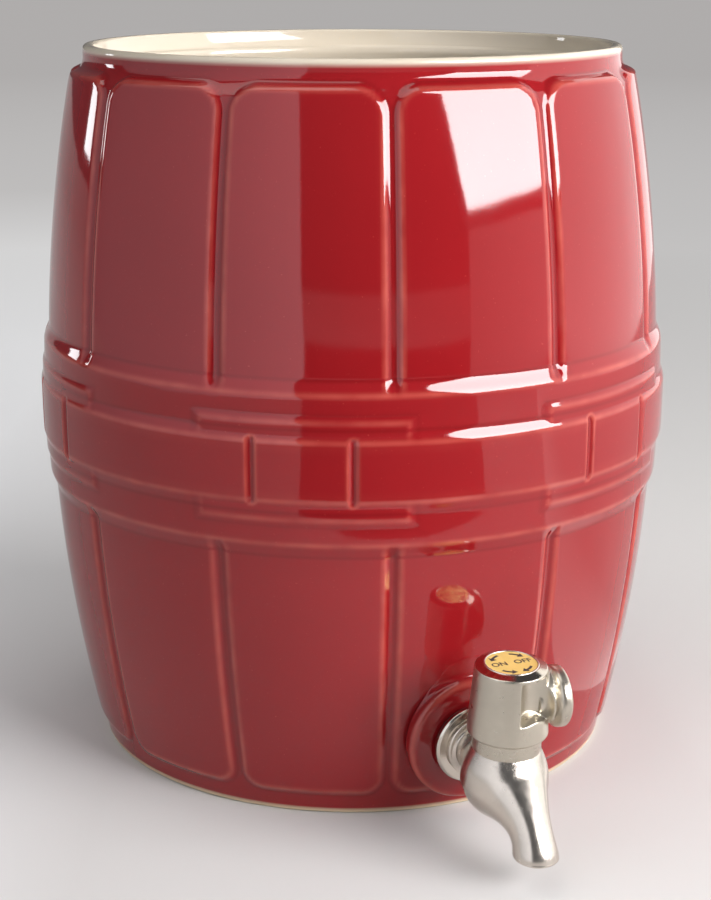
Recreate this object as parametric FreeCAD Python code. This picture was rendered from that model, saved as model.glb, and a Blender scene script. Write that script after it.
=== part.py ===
import FreeCAD, Part
import math
import os
from FreeCAD import Placement, Rotation, Vector

# Barrel-shaped stoneware water pot with a quarter-turn tap, in millimetres.
# The pot stands on Z = 0 with its axis on Z, and the tap points along -Y.
# The tap is drawn upright in a frame of its own and then set on the boss:
# local Y = 0 is the boss face, -Y is outwards, and Z = 0 is the shank's axis.

# Barrel
POT_HEIGHT = 290.0
BELLY_RADIUS = 127.4        # over the staves
BELLY_HEIGHT = 150.0
BOW_RADIUS = 650.0          # lengthwise curve of a stave
WALL = 9.0
FLOOR = 10.0
FLOOR_CORNER = 12.0
FOOT_LINE = 1.2             # bare ring that the barrel stands on
FOOT_INSET = 1.4

# Staves
STAVES = 12
STAVE_RELIEF = 1.3
GROOVE_WIDTH = 3.4
GROOVE_SINK = 1.0           # how far a stave is rooted in the wall
STAVE_EDGE = 0.9
UPPER_CORNER = 10.0
LOWER_CORNER = 8.0
STAVE_BASE = 9.5
STAVE_TOP_GAP = 9.0         # from the rim down to the staves' tops

# Rim with its gallery for a lid
COLLAR_SETBACK = 1.9        # how far the collar stands inside the barrel's curve
COLLAR_DROP = 5.0
SHOULDER_DROP = 13.0
LIP_HEIGHT = 1.8
LIP_THICKNESS = 4.2
LIP_ROUND = 1.2
GALLERY_DEPTH = 7.5
GALLERY_WIDTH = 3.5
GALLERY_BAND = 3.5
GALLERY_SLOPE = 12.0

# Hoop and woven band
HOOP_MIDDLE = 144.8
HOOP_HEIGHT = 62.6
HOOP_RISE = 2.0             # over the staves
HOOP_EDGE = 1.2
STRAP_HEIGHT = 27.6
STRAP_RISE = 1.5            # over the hoop
STRAP_EDGE = 0.7
PLATES = 6
PLATE_HEIGHT = 40.0
PLATE_HALF_ANGLE = 18.0
PLATE_RISE = 0.8            # over the hoop
PLATE_EDGE = 0.5
SLOT_ANGLE = 8.3            # from a plate's middle to each slot in the strap
SLOT_RADIUS = 1.5
SLOT_DEPTH = 1.0

# Tap boss and hole
TAP_HEIGHT = 33.5
TAP_LEAN = 4.5              # degrees that the tap's top leans outwards
BOSS_RADIUS = 25.0
BOSS_PROUD = 1.6            # at the boss's middle, over the stave at its top edge
BOSS_EDGE = 2.5
BOSS_ROOT = 12.0
SEAT_DEPTH = 12.5           # boss face to the flat seat inside
SEAT_MARGIN = 2.0
HOLE_CLEARANCE = 0.7

# Clamping stack on the shank
SHANK_RADIUS = 7.9
THREAD_CLEARANCE = 0.05
RING_CLEARANCE = 0.4
SHANK_BORE = 4.5
GASKET_RADIUS = 15.0
OUTER_GASKET = 1.5
FLANGE_RADIUS = 15.9
FLANGE_THICKNESS = 2.5
FLANGE_EDGE = 0.8
INNER_GASKET = 3.0
WASHER_THICKNESS = 1.5
NUT_FLATS = 24.0
NUT_HEIGHT = 6.0
NUT_CHAMFER = 0.9
SHANK_SPARE = 3.0           # thread past the nut

# Tap body
STEM_OUT = 29.1             # boss face to the stem's axis
SHOULDER_RADIUS = 12.0
SHOULDER_THICKNESS = 2.2
SHOULDER_EDGE = 0.9
HUB_RADIUS = 9.3
BULB_RADIUS = 16.0
NECK_WALL = 2.0
NECK_TOP = 12.6
SPOUT_KNEE_OUT = 23.7       # knee of the spout's curve, from the stem's axis
SPOUT_KNEE_DROP = 5.0
SPOUT_REACH = 27.7          # outlet, from the stem's axis
SPOUT_DROP = 17.8           # outlet, under the shank's axis
OUTLET_RADIUS = 8.5
SPOUT_WAIST = 1.7
SPOUT_BORE = 5.6
SPOUT_SECTIONS = 9

# Valve
CHAMBER_RADIUS = 8.0
CHAMBER_DEPTH = 9.0         # under the shank's axis
RUNNING_FIT = 0.08
END_PLAY = 0.1
PORT_RADIUS = 4.0
SEAL_HEIGHT = 6.4           # middle of each seal, from the shank's axis
SEAL_WIRE = 1.0             # half the thickness of a squeezed seal ring
SEAL_SQUEEZE = 0.05
COLLAR_BASE = 8.0
COLLAR_THICKNESS = 1.8
COLLAR_STEP = 1.0           # collar past the bore
LUG_REACH = 1.2             # lug past the collar
LUG_ANGLE = 30.0
TURN = 90.0                 # quarter turn from closed to open
STOP_PLAY = 1.0             # degrees past each end of the turn
THRUST_THICKNESS = 0.8
BONNET_STEP = 0.6           # bonnet's thread past the lug
STEM_RADIUS = 4.0
SQUARE = 5.4                # across the stem's drive flats
SQUARE_BASE = 26.0
STEM_TOP = 37.0

# Handle, label and screw
HANDLE_BASE = 18.8
HANDLE_TOP = 45.3
SKIRT_WALL = 1.6
HANDLE_TAPER = 1.6
HANDLE_FOOT_EDGE = 0.9
CROWN_RISE = 1.2
LABEL_RADIUS = 9.5
LABEL_THICKNESS = 0.6
LABEL_RIM = 0.4
SKIRT_CLEARANCE = 0.6
SKIRT_DEPTH = 4.6
CORE_RADIUS = 7.0
CORE_WALL = 2.6
CORE_TOP = 34.0
DRIVE_CLEARANCE = 0.1
WEB_GAP = 0.2
SCREW_SEAT = 41.0
SCREW_RADIUS = 2.0
SCREW_LENGTH = 10.0
SCREW_HEAD_RADIUS = 3.6
SCREW_HEAD_HEIGHT = 2.4
POCKET_RADIUS = 4.6
DRIVER_SLOT = 0.9
LEVER_TURN = 12.0           # degrees that the lever points outwards of square
KNOB_HEIGHT = 32.4
KNOB_RADIUS = 11.5
KNOB_BACK = 14.7            # stem's axis to the knob's back
KNOB_THICKNESS = 5.8
KNOB_EDGE = 1.4
ARM_RADIUS = 10.8
ARM_BASE = 27.3
SCOOP_RADIUS = 7.0
SCOOP_OUT = 7.7             # stem's axis to each scoop's middle, along the lever
SCOOP_SIDE = 13.5
TOP_PLATE = 1.3

ORIGIN = Vector(0, 0, 0)
X = Vector(1, 0, 0)
Y = Vector(0, 1, 0)
Z = Vector(0, 0, 1)
SLIVER = 0.01


def stave_radius(z, offset=0.0):
    """Radius of the barrel's outside at height z, out by offset from the staves."""
    rise = z - BELLY_HEIGHT
    return BELLY_RADIUS - BOW_RADIUS + math.sqrt(BOW_RADIUS ** 2 - rise ** 2) + offset


def bow(start, end, offset):
    """Arc of the barrel's outside from one height to another, as an edge in the XZ plane."""
    ends = [Vector(stave_radius(z, offset), 0, z) for z in (start, (start + end) / 2, end)]
    return Part.Arc(*ends).toShape()


def line(a, b):
    """Straight edge between two (radius, height) pairs."""
    return Part.LineSegment(Vector(a[0], 0, a[1]), Vector(b[0], 0, b[1])).toShape()


def arc(a, mid, b):
    """Round edge through three (radius, height) pairs."""
    return Part.Arc(*[Vector(r, 0, z) for r, z in (a, mid, b)]).toShape()


def spin(edges, angle=360.0):
    """Solid turned about Z from a closed outline in the XZ plane."""
    return Part.Face(Part.Wire(edges)).revolve(ORIGIN, Z, angle)


def turned(points):
    """Solid turned about Z from a closed polygon of (radius, height) pairs."""
    loop = [Vector(r, 0, z) for r, z in points + points[:1]]
    return Part.Face(Part.makePolygon(loop)).revolve(ORIGIN, Z, 360)


def outwards(shape):
    """Turn a shape drawn along Z so that it lies along the shank, outwards."""
    shape.rotate(ORIGIN, X, 90)
    return shape


def on_stem(shape):
    """Move a shape drawn about Z onto the stem's axis."""
    shape.translate(Vector(0, -STEM_OUT, 0))
    return shape


def collar_radius():
    """Collar of the plug, wider than its bore."""
    return CHAMBER_RADIUS + COLLAR_STEP


def lug_radius():
    """Reach of the stop lug from the stem's axis."""
    return collar_radius() + LUG_REACH


def bonnet_thread():
    """Radius of the thread in the neck."""
    return lug_radius() + BONNET_STEP


def neck_radius():
    """Outside of the neck and of the bonnet ring above it."""
    return bonnet_thread() + NECK_WALL


def skirt_bore():
    """Inside of the handle's skirt, round the bonnet ring."""
    return neck_radius() + SKIRT_CLEARANCE


def boss_face():
    """Distance from the pot's axis to the middle of the boss's face."""
    return stave_radius(TAP_HEIGHT + BOSS_RADIUS) + BOSS_PROUD


def seat(shape):
    """Set a shape of the tap's own frame on the boss."""
    place = Placement(Vector(0, -boss_face(), TAP_HEIGHT), Rotation(X, TAP_LEAN))
    moved = shape.copy()
    moved.Placement = place.multiply(moved.Placement)
    return moved


def ring_of(shape, count, first=0.0):
    """Copies of a shape spaced evenly about the pot's axis."""
    copies = []
    for step in range(count):
        piece = shape.copy()
        piece.rotate(ORIGIN, Z, first + step * 360.0 / count)
        copies.append(piece)
    return copies


def outer_edges(shape, offset):
    """Edges that lie on the barrel's curve moved out by offset."""
    found = []
    for edge in shape.Edges:
        points = edge.discretize(5)
        off = [abs(math.hypot(p.x, p.y) - stave_radius(p.z, offset)) for p in points]
        if max(off) < 0.02:
            found.append(edge)
    return found


def stave(low, high, corner, corners_at):
    """One raised stave panel in front, with two round corners at a height."""
    grip = GROOVE_WIDTH / 2
    half = math.sin(math.pi / STAVES)

    def side(z, sign):
        return Vector(sign * (stave_radius(z) * half - grip), 0, z)

    middle = (low + high) / 2
    outline = [
        Part.LineSegment(side(low, -1), side(low, 1)).toShape(),
        Part.Arc(side(low, 1), side(middle, 1), side(high, 1)).toShape(),
        Part.LineSegment(side(high, 1), side(high, -1)).toShape(),
        Part.Arc(side(high, -1), side(middle, -1), side(low, -1)).toShape(),
    ]
    prism = Part.Face(Part.Wire(outline)).extrude(Vector(0, -2 * BELLY_RADIUS, 0))
    rounded = [e for e in prism.Edges if is_corner(e, corners_at)]
    prism = prism.makeFillet(corner, rounded)
    inner = -STAVE_RELIEF - GROOVE_SINK
    reach = 0.5
    under, over = low - reach, high + reach
    band = spin([
        bow(under, over, 0),
        line((stave_radius(over), over), (stave_radius(over, inner), over)),
        bow(over, under, inner),
        line((stave_radius(under, inner), under), (stave_radius(under), under)),
    ])
    panel = prism.common(band)
    return panel.makeChamfer(STAVE_EDGE, outer_edges(panel, 0))


def is_corner(edge, height):
    """True for a straight edge along Y at this height."""
    a, b = edge.Vertexes[0].Point, edge.Vertexes[-1].Point
    flat = abs(a.x - b.x) < SLIVER and abs(a.z - b.z) < SLIVER
    return flat and abs(a.z - height) < SLIVER


def belt(height, rise, edge, angle=360.0):
    """Raised ring round the hoop's middle with bevelled edges, or a stretch of one in front."""
    low, high = HOOP_MIDDLE - height / 2, HOOP_MIDDLE + height / 2
    root = -STAVE_RELIEF - GROOVE_SINK
    foot, face = stave_radius(low, root), stave_radius(low, rise - edge)
    head, brow = stave_radius(high, root), stave_radius(high, rise - edge)
    ring = spin([
        line((foot, low), (face, low)),
        line((face, low), (stave_radius(low + edge, rise), low + edge)),
        bow(low + edge, high - edge, rise),
        line((stave_radius(high - edge, rise), high - edge), (brow, high)),
        line((brow, high), (head, high)),
        bow(high, low, root),
    ], angle)
    ring.rotate(ORIGIN, Z, -90 - angle / 2)
    return ring


def slots():
    """Round-ended upright slots in the strap, two on each plate."""
    strap_face = stave_radius(HOOP_MIDDLE, HOOP_RISE + STRAP_RISE)
    out = strap_face + SLOT_RADIUS - SLOT_DEPTH
    length = STRAP_HEIGHT - 2 * SLOT_RADIUS - 2 * STRAP_EDGE
    low = Vector(0, -out, HOOP_MIDDLE - length / 2)
    high = Vector(0, -out, HOOP_MIDDLE + length / 2)
    pin = Part.makeCylinder(SLOT_RADIUS, length, low, Z)
    pin = pin.fuse([Part.makeSphere(SLOT_RADIUS, low), Part.makeSphere(SLOT_RADIUS, high)])
    first = 180.0 / PLATES
    return ring_of(pin, PLATES, first - SLOT_ANGLE) + ring_of(pin, PLATES, first + SLOT_ANGLE)


def barrel_outside():
    """The barrel without its hollow: wall at groove level, collar, lip and foot."""
    foot = stave_radius(FOOT_LINE, -STAVE_RELIEF)
    shoulder_z = POT_HEIGHT - SHOULDER_DROP
    collar_z = POT_HEIGHT - COLLAR_DROP
    collar = stave_radius(POT_HEIGHT, -STAVE_RELIEF) - COLLAR_SETBACK
    lip_z = POT_HEIGHT - LIP_HEIGHT
    shoulder = stave_radius(shoulder_z, -STAVE_RELIEF)
    hollow = (collar + 0.28 * (shoulder - collar), collar_z - 0.5 * (collar_z - shoulder_z))
    corner = (collar - 0.3 * LIP_HEIGHT, POT_HEIGHT - 0.3 * LIP_HEIGHT)
    return spin([
        line((0, 0), (foot - FOOT_INSET, 0)),
        line((foot - FOOT_INSET, 0), (foot, FOOT_LINE)),
        bow(FOOT_LINE, shoulder_z, -STAVE_RELIEF),
        arc((shoulder, shoulder_z), hollow, (collar, collar_z)),
        line((collar, collar_z), (collar, lip_z)),
        arc((collar, lip_z), corner, (collar - LIP_HEIGHT, POT_HEIGHT)),
        line((collar - LIP_HEIGHT, POT_HEIGHT), (0, POT_HEIGHT)),
        line((0, POT_HEIGHT), (0, 0)),
    ])


def barrel_hollow():
    """The hollow: floor, bowed wall, and the gallery and mouth above it."""
    inset = -STAVE_RELIEF - WALL
    collar = stave_radius(POT_HEIGHT, -STAVE_RELIEF) - COLLAR_SETBACK
    mouth = collar - LIP_THICKNESS
    gallery = mouth - GALLERY_WIDTH
    gallery_z = POT_HEIGHT - GALLERY_DEPTH
    band_z = gallery_z - GALLERY_BAND
    wall_top = band_z - GALLERY_SLOPE
    wall_low = FLOOR + FLOOR_CORNER
    low_r = stave_radius(wall_low, inset)
    turn = FLOOR_CORNER * (1 - math.sqrt(0.5))
    return spin([
        line((0, FLOOR), (low_r - FLOOR_CORNER, FLOOR)),
        arc((low_r - FLOOR_CORNER, FLOOR), (low_r - turn, FLOOR + turn), (low_r, wall_low)),
        bow(wall_low, wall_top, inset),
        line((stave_radius(wall_top, inset), wall_top), (gallery, band_z)),
        line((gallery, band_z), (gallery, gallery_z)),
        line((gallery, gallery_z), (mouth, gallery_z)),
        line((mouth, gallery_z), (mouth, POT_HEIGHT - LIP_ROUND)),
        line((mouth, POT_HEIGHT - LIP_ROUND), (mouth + LIP_ROUND, POT_HEIGHT)),
        line((mouth + LIP_ROUND, POT_HEIGHT), (mouth + LIP_ROUND, POT_HEIGHT + 1)),
        line((mouth + LIP_ROUND, POT_HEIGHT + 1), (0, POT_HEIGHT + 1)),
        line((0, POT_HEIGHT + 1), (0, FLOOR)),
    ])


def boss():
    """Round pad in front, flat-faced and square to the shank."""
    pad = Part.makeCylinder(BOSS_RADIUS, BOSS_ROOT, ORIGIN, Y)
    face_edge = [e for e in pad.Edges if abs(e.BoundBox.YMax) < SLIVER]
    return seat(pad.makeFillet(BOSS_EDGE, face_edge))


def hole_and_seat():
    """Cutters for the tap's hole and the flat seat on the inside of the wall."""
    hole = Part.makeCylinder(SHANK_RADIUS + HOLE_CLEARANCE, 3 * SEAT_DEPTH,
                             Vector(0, -SEAT_DEPTH, 0), Y)
    flat = Part.makeCylinder(GASKET_RADIUS + SEAT_MARGIN, 2 * SEAT_DEPTH,
                             Vector(0, SEAT_DEPTH, 0), Y)
    return [seat(hole), seat(flat)]


def make_pot_body():
    """The stoneware barrel with its relief, boss, hollow and tap hole."""
    hoop_low = HOOP_MIDDLE - HOOP_HEIGHT / 2
    hoop_high = HOOP_MIDDLE + HOOP_HEIGHT / 2
    lap = 2 * HOOP_EDGE
    stave_top = POT_HEIGHT - STAVE_TOP_GAP
    upper = stave(hoop_high - lap, stave_top, UPPER_CORNER, stave_top)
    lower = stave(STAVE_BASE, hoop_low + lap, LOWER_CORNER, STAVE_BASE)
    plate = belt(PLATE_HEIGHT, HOOP_RISE + PLATE_RISE, PLATE_EDGE, 2 * PLATE_HALF_ANGLE)
    relief = ring_of(upper, STAVES) + ring_of(lower, STAVES)
    relief += ring_of(plate, PLATES, 180.0 / PLATES)
    relief.append(belt(HOOP_HEIGHT, HOOP_RISE, HOOP_EDGE))
    relief.append(belt(STRAP_HEIGHT, HOOP_RISE + STRAP_RISE, STRAP_EDGE))
    relief.append(boss())
    solid = barrel_outside().fuse(relief)
    return solid.cut([barrel_hollow()] + hole_and_seat() + slots())


def make_outer_gasket():
    """Rubber ring between the boss and the flange."""
    inner = SHANK_RADIUS + RING_CLEARANCE
    return seat(outwards(turned([
        (inner, 0), (GASKET_RADIUS, 0), (GASKET_RADIUS, OUTER_GASKET), (inner, OUTER_GASKET)])))


def make_wall_flange():
    """Metal ring against the outer gasket, bevelled in front."""
    inner = SHANK_RADIUS + RING_CLEARANCE
    back = OUTER_GASKET
    front = back + FLANGE_THICKNESS
    return seat(outwards(turned([
        (inner, back), (FLANGE_RADIUS, back), (FLANGE_RADIUS, front - FLANGE_EDGE),
        (FLANGE_RADIUS - FLANGE_EDGE, front), (inner, front)])))


def make_inner_gasket():
    """Rubber ring on the flat seat inside the pot."""
    inner = SHANK_RADIUS + RING_CLEARANCE
    near = -SEAT_DEPTH
    far = near - INNER_GASKET
    return seat(outwards(turned([
        (inner, far), (GASKET_RADIUS, far), (GASKET_RADIUS, near), (inner, near)])))


def make_backing_washer():
    """Metal washer that spreads the nut's load over the inner gasket."""
    inner = SHANK_RADIUS + RING_CLEARANCE
    near = -SEAT_DEPTH - INNER_GASKET
    far = near - WASHER_THICKNESS
    return seat(outwards(turned([
        (inner, far), (GASKET_RADIUS, far), (GASKET_RADIUS, near), (inner, near)])))


def nut_near():
    """Where the nut meets its washer, along the shank."""
    return -SEAT_DEPTH - INNER_GASKET - WASHER_THICKNESS


def make_lock_nut():
    """Hexagon nut with chamfered corners on the shank."""
    far = nut_near() - NUT_HEIGHT
    corner = NUT_FLATS / math.sqrt(3)
    points = [Vector(corner * math.cos(math.radians(a)), corner * math.sin(math.radians(a)), far)
              for a in range(0, 420, 60)]
    hexagon = Part.Face(Part.makePolygon(points)).extrude(Vector(0, 0, NUT_HEIGHT))
    flat = NUT_FLATS / 2
    crown = turned([
        (0, far), (flat, far), (corner, far + NUT_CHAMFER),
        (corner, far + NUT_HEIGHT - NUT_CHAMFER), (flat, far + NUT_HEIGHT), (0, far + NUT_HEIGHT)])
    bore = Part.makeCylinder(SHANK_RADIUS + THREAD_CLEARANCE, NUT_HEIGHT + 2,
                             Vector(0, 0, far - 1), Z)
    return seat(outwards(hexagon.common(crown).cut(bore)))


def spout_point(t):
    """Point of the spout's centre line, from the bulb at 0 to the outlet at 1."""
    start, knee = (0.0, 0.0), (SPOUT_KNEE_OUT, -SPOUT_KNEE_DROP)
    end = (SPOUT_REACH, -SPOUT_DROP)
    out, up = [(1 - t) ** 2 * start[i] + 2 * t * (1 - t) * knee[i] + t ** 2 * end[i]
               for i in (0, 1)]
    return Vector(0, -STEM_OUT - out, up)


def spout_heading(t):
    """Direction of the spout's centre line."""
    step = 0.001
    return (spout_point(t + step) - spout_point(t - step)).normalize()


def spout_radius(t):
    """Outside radius: wide at the bulb, waisted, and opening a little at the outlet."""
    swell = (BULB_RADIUS - OUTLET_RADIUS) * max(1 - t, 0) ** 2
    return OUTLET_RADIUS + swell - SPOUT_WAIST * math.sin(math.pi * min(t, 1))


def tube_along(first, last, radius_at):
    """Loft of circles square to the spout's centre line."""
    circles = []
    for step in range(SPOUT_SECTIONS):
        t = first + (last - first) * step / (SPOUT_SECTIONS - 1)
        ring = Part.Circle(spout_point(t), spout_heading(t), radius_at(t))
        circles.append(Part.Wire([ring.toShape()]))
    return Part.makeLoft(circles, True, False)


def make_tap_body():
    """Casting with threaded shank, shoulder, hub, bulb, neck and spout."""
    shoulder = OUTER_GASKET + FLANGE_THICKNESS
    front = shoulder + SHOULDER_THICKNESS
    end = nut_near() - NUT_HEIGHT - SHANK_SPARE
    edge = SHOULDER_EDGE
    stem = turned([
        (0, end), (SHANK_RADIUS - edge, end), (SHANK_RADIUS, end + edge),
        (SHANK_RADIUS, shoulder), (SHOULDER_RADIUS, shoulder), (SHOULDER_RADIUS, front - edge),
        (SHOULDER_RADIUS - edge, front), (HUB_RADIUS + edge, front), (HUB_RADIUS, front + edge),
        (HUB_RADIUS, STEM_OUT - CHAMBER_RADIUS), (0, STEM_OUT - CHAMBER_RADIUS)])
    neck = neck_radius()
    side = BULB_RADIUS - neck
    swell = (side ** 2 + NECK_TOP ** 2) / (2 * side)
    mid_r = BULB_RADIUS - swell + math.sqrt(swell ** 2 - (NECK_TOP / 2) ** 2)
    low = BULB_RADIUS * math.sqrt(0.5)
    bulb = on_stem(spin([
        arc((0, -BULB_RADIUS), (low, -low), (BULB_RADIUS, 0)),
        arc((BULB_RADIUS, 0), (mid_r, NECK_TOP / 2), (neck, NECK_TOP)),
        line((neck, NECK_TOP), (0, NECK_TOP)),
        line((0, NECK_TOP), (0, -BULB_RADIUS)),
    ]))
    spout = tube_along(0.06, 1.12, spout_radius)
    span = 4 * SPOUT_REACH
    keep = Part.makeBox(span, span, NECK_TOP + SPOUT_DROP,
                        Vector(-span / 2, -STEM_OUT - span / 2, -SPOUT_DROP))
    solid = bulb.fuse([outwards(stem), spout.common(keep)])
    return seat(solid.cut([tap_waterway(), valve_chamber()]))


def tap_waterway():
    """Bore of the shank, and the bore that follows the spout."""
    end = nut_near() - NUT_HEIGHT - SHANK_SPARE
    inlet = Part.makeCylinder(SHANK_BORE, STEM_OUT - end, Vector(0, -end + 1, 0), -Y)
    return inlet.fuse(tube_along(0.08, 1.14, lambda t: SPOUT_BORE))


def valve_chamber():
    """Bore for the plug, with the lug's pocket and the bonnet's thread above."""
    top = NECK_TOP + 1
    thrust_base = COLLAR_BASE + COLLAR_THICKNESS + END_PLAY
    bore = Part.makeCylinder(CHAMBER_RADIUS, CHAMBER_DEPTH + COLLAR_BASE + 1,
                             Vector(0, 0, -CHAMBER_DEPTH), Z)
    round_pocket = Part.makeCylinder(collar_radius() + 2 * RUNNING_FIT, top - COLLAR_BASE,
                                     Vector(0, 0, COLLAR_BASE - END_PLAY), Z)
    sweep = LUG_ANGLE + TURN + 2 * STOP_PLAY
    lug_pocket = Part.makeCylinder(lug_radius() + 2 * RUNNING_FIT, top - COLLAR_BASE,
                                   Vector(0, 0, COLLAR_BASE - END_PLAY), Z, sweep)
    lug_pocket.rotate(ORIGIN, Z, lug_start() - STOP_PLAY)
    thread = Part.makeCylinder(bonnet_thread(), top - thrust_base, Vector(0, 0, thrust_base), Z)
    return on_stem(bore.fuse([round_pocket, lug_pocket, thread]))


def lug_start():
    """Angle of the lug's first side when the tap is closed."""
    return -90.0 - TURN / 2 - LUG_ANGLE / 2


def make_valve_plug():
    """Turning plug with cross port, seal grooves, stop lug, stem and square."""
    radius = CHAMBER_RADIUS - RUNNING_FIT
    root = CHAMBER_RADIUS - SEAL_SQUEEZE - 2 * SEAL_WIRE
    half = SEAL_WIRE + SEAL_SQUEEZE
    base = -CHAMBER_DEPTH + 2 * END_PLAY
    collar_low = COLLAR_BASE
    collar_high = COLLAR_BASE + COLLAR_THICKNESS
    low, high = -SEAL_HEIGHT, SEAL_HEIGHT
    plug = turned([
        (0, base), (radius, base), (radius, low - half), (root, low - half),
        (root, low + half), (radius, low + half), (radius, high - half), (root, high - half),
        (root, high + half), (radius, high + half), (radius, collar_low),
        (collar_radius(), collar_low), (collar_radius(), collar_high), (STEM_RADIUS, collar_high),
        (STEM_RADIUS, STEM_TOP), (0, STEM_TOP)])
    lug = Part.makeCylinder(lug_radius(), COLLAR_THICKNESS, Vector(0, 0, collar_low), Z, LUG_ANGLE)
    lug.rotate(ORIGIN, Z, lug_start())
    port = Part.makeCylinder(PORT_RADIUS, 4 * radius, Vector(-2 * radius, 0, 0), X)
    tapped = Part.makeCylinder(SCREW_RADIUS + THREAD_CLEARANCE, SCREW_LENGTH,
                               Vector(0, 0, SCREW_SEAT - SCREW_LENGTH - 1), Z)
    tall = STEM_TOP - SQUARE_BASE + 1
    jacket = Part.makeCylinder(2 * STEM_RADIUS, tall, Vector(0, 0, SQUARE_BASE), Z)
    drive = Part.makeBox(SQUARE, SQUARE, tall, Vector(-SQUARE / 2, -SQUARE / 2, SQUARE_BASE))
    return seat(on_stem(plug.fuse(lug).cut([port, tapped, jacket.cut(drive)])))


def seal_ring(height):
    """Rubber ring squeezed flat on four sides in its groove on the plug."""
    centre = CHAMBER_RADIUS - SEAL_SQUEEZE - SEAL_WIRE
    reach = SEAL_WIRE / math.cos(math.pi / 8)
    turns = [math.radians(22.5 + 45 * step) for step in range(8)]
    return seat(on_stem(turned([
        (centre + reach * math.cos(a), height + reach * math.sin(a)) for a in turns])))


def make_thrust_washer():
    """Slip washer between the plug's collar and the bonnet."""
    base = COLLAR_BASE + COLLAR_THICKNESS + END_PLAY
    top = base + THRUST_THICKNESS
    inner, outer = STEM_RADIUS + RING_CLEARANCE, bonnet_thread() - RING_CLEARANCE
    return seat(on_stem(turned([(inner, base), (outer, base), (outer, top), (inner, top)])))


def make_bonnet_nut():
    """Ring nut that holds the plug down and fills the neck under the handle."""
    base = COLLAR_BASE + COLLAR_THICKNESS + END_PLAY + THRUST_THICKNESS
    top = HANDLE_BASE + SKIRT_DEPTH - 2 * SKIRT_CLEARANCE
    thread = bonnet_thread() - THREAD_CLEARANCE
    inner = STEM_RADIUS + RUNNING_FIT
    ring = neck_radius()
    return seat(on_stem(turned([
        (inner, base), (thread, base), (thread, NECK_TOP), (ring, NECK_TOP),
        (ring, top - SKIRT_CLEARANCE), (ring - SKIRT_CLEARANCE, top), (inner, top)])))


def handle_cap():
    """Tapered cap with a raised crown round the label's seat."""
    crown = LABEL_RADIUS + LABEL_RIM
    foot = skirt_bore() + SKIRT_WALL
    top = foot - HANDLE_TAPER
    edge = HANDLE_FOOT_EDGE
    return turned([
        (0, HANDLE_BASE), (foot - edge, HANDLE_BASE), (foot, HANDLE_BASE + edge),
        (top, HANDLE_TOP), (crown, HANDLE_TOP + CROWN_RISE), (0, HANDLE_TOP + CROWN_RISE)])


def lever():
    """Round knob on an arm, along +X before it is turned to its place."""
    knob = Part.makeCylinder(KNOB_RADIUS, KNOB_THICKNESS, Vector(KNOB_BACK, 0, KNOB_HEIGHT), X)
    knob = knob.makeFillet(KNOB_EDGE, [e for e in knob.Edges if e.BoundBox.XLength < SLIVER])
    arm = Part.makeCylinder(ARM_RADIUS, KNOB_BACK + KNOB_EDGE, Vector(0, 0, KNOB_HEIGHT), X)
    keep = Part.makeBox(60, 60, 60, Vector(0, -30, ARM_BASE))
    return knob.fuse(arm.common(keep))


def scoops():
    """Finger scoops on both sides of the arm, under the cap's top plate."""
    high = HANDLE_TOP - TOP_PLATE
    return [Part.makeCylinder(SCOOP_RADIUS, high - ARM_BASE, Vector(SCOOP_OUT, side, ARM_BASE), Z)
            for side in (-SCOOP_SIDE, SCOOP_SIDE)]


def handle_inside():
    """Cutters for the skirt, the lightening ring, the drive, the screw and the label."""
    skirt = skirt_bore()
    top = HANDLE_TOP + CROWN_RISE
    skirt_top = HANDLE_BASE + SKIRT_DEPTH
    ring_outer = skirt - CORE_WALL
    hollow = turned([
        (0, HANDLE_BASE - 1), (skirt, HANDLE_BASE - 1), (skirt, skirt_top),
        (ring_outer, skirt_top), (ring_outer, CORE_TOP), (CORE_RADIUS, CORE_TOP),
        (CORE_RADIUS, skirt_top), (0, skirt_top)])
    width = SQUARE + 2 * DRIVE_CLEARANCE
    neck = Part.makeCylinder(STEM_RADIUS + DRIVE_CLEARANCE, SQUARE_BASE - HANDLE_BASE,
                             Vector(0, 0, HANDLE_BASE), Z)
    drive = Part.makeBox(width, width, STEM_TOP + WEB_GAP - SQUARE_BASE,
                         Vector(-width / 2, -width / 2, SQUARE_BASE))
    hole = Part.makeCylinder(SCREW_RADIUS + 2 * DRIVE_CLEARANCE, SCREW_SEAT - STEM_TOP,
                             Vector(0, 0, STEM_TOP), Z)
    pocket = Part.makeCylinder(POCKET_RADIUS, top - SCREW_SEAT, Vector(0, 0, SCREW_SEAT), Z)
    label = Part.makeCylinder(LABEL_RADIUS + DRIVE_CLEARANCE, 2 * LABEL_THICKNESS,
                              Vector(0, 0, top - LABEL_THICKNESS), Z)
    return hollow.fuse([neck, drive, hole, pocket, label])


def make_handle():
    """Cap and side lever, one casting, turned to the closed position."""
    body = handle_cap().fuse(lever()).cut(scoops())
    body.rotate(ORIGIN, Z, -LEVER_TURN)
    return seat(on_stem(body.cut(handle_inside())))


def make_handle_screw():
    """Slotted screw under the label."""
    head_top = SCREW_SEAT + SCREW_HEAD_HEIGHT
    screw = turned([
        (0, SCREW_SEAT - SCREW_LENGTH), (SCREW_RADIUS, SCREW_SEAT - SCREW_LENGTH),
        (SCREW_RADIUS, SCREW_SEAT), (SCREW_HEAD_RADIUS, SCREW_SEAT),
        (SCREW_HEAD_RADIUS, head_top), (0, head_top)])
    span = 2 * SCREW_HEAD_RADIUS + 1
    slot = Part.makeBox(span, DRIVER_SLOT, DRIVER_SLOT,
                        Vector(-span / 2, -DRIVER_SLOT / 2, head_top - DRIVER_SLOT))
    return seat(on_stem(screw.cut(slot)))


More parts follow.
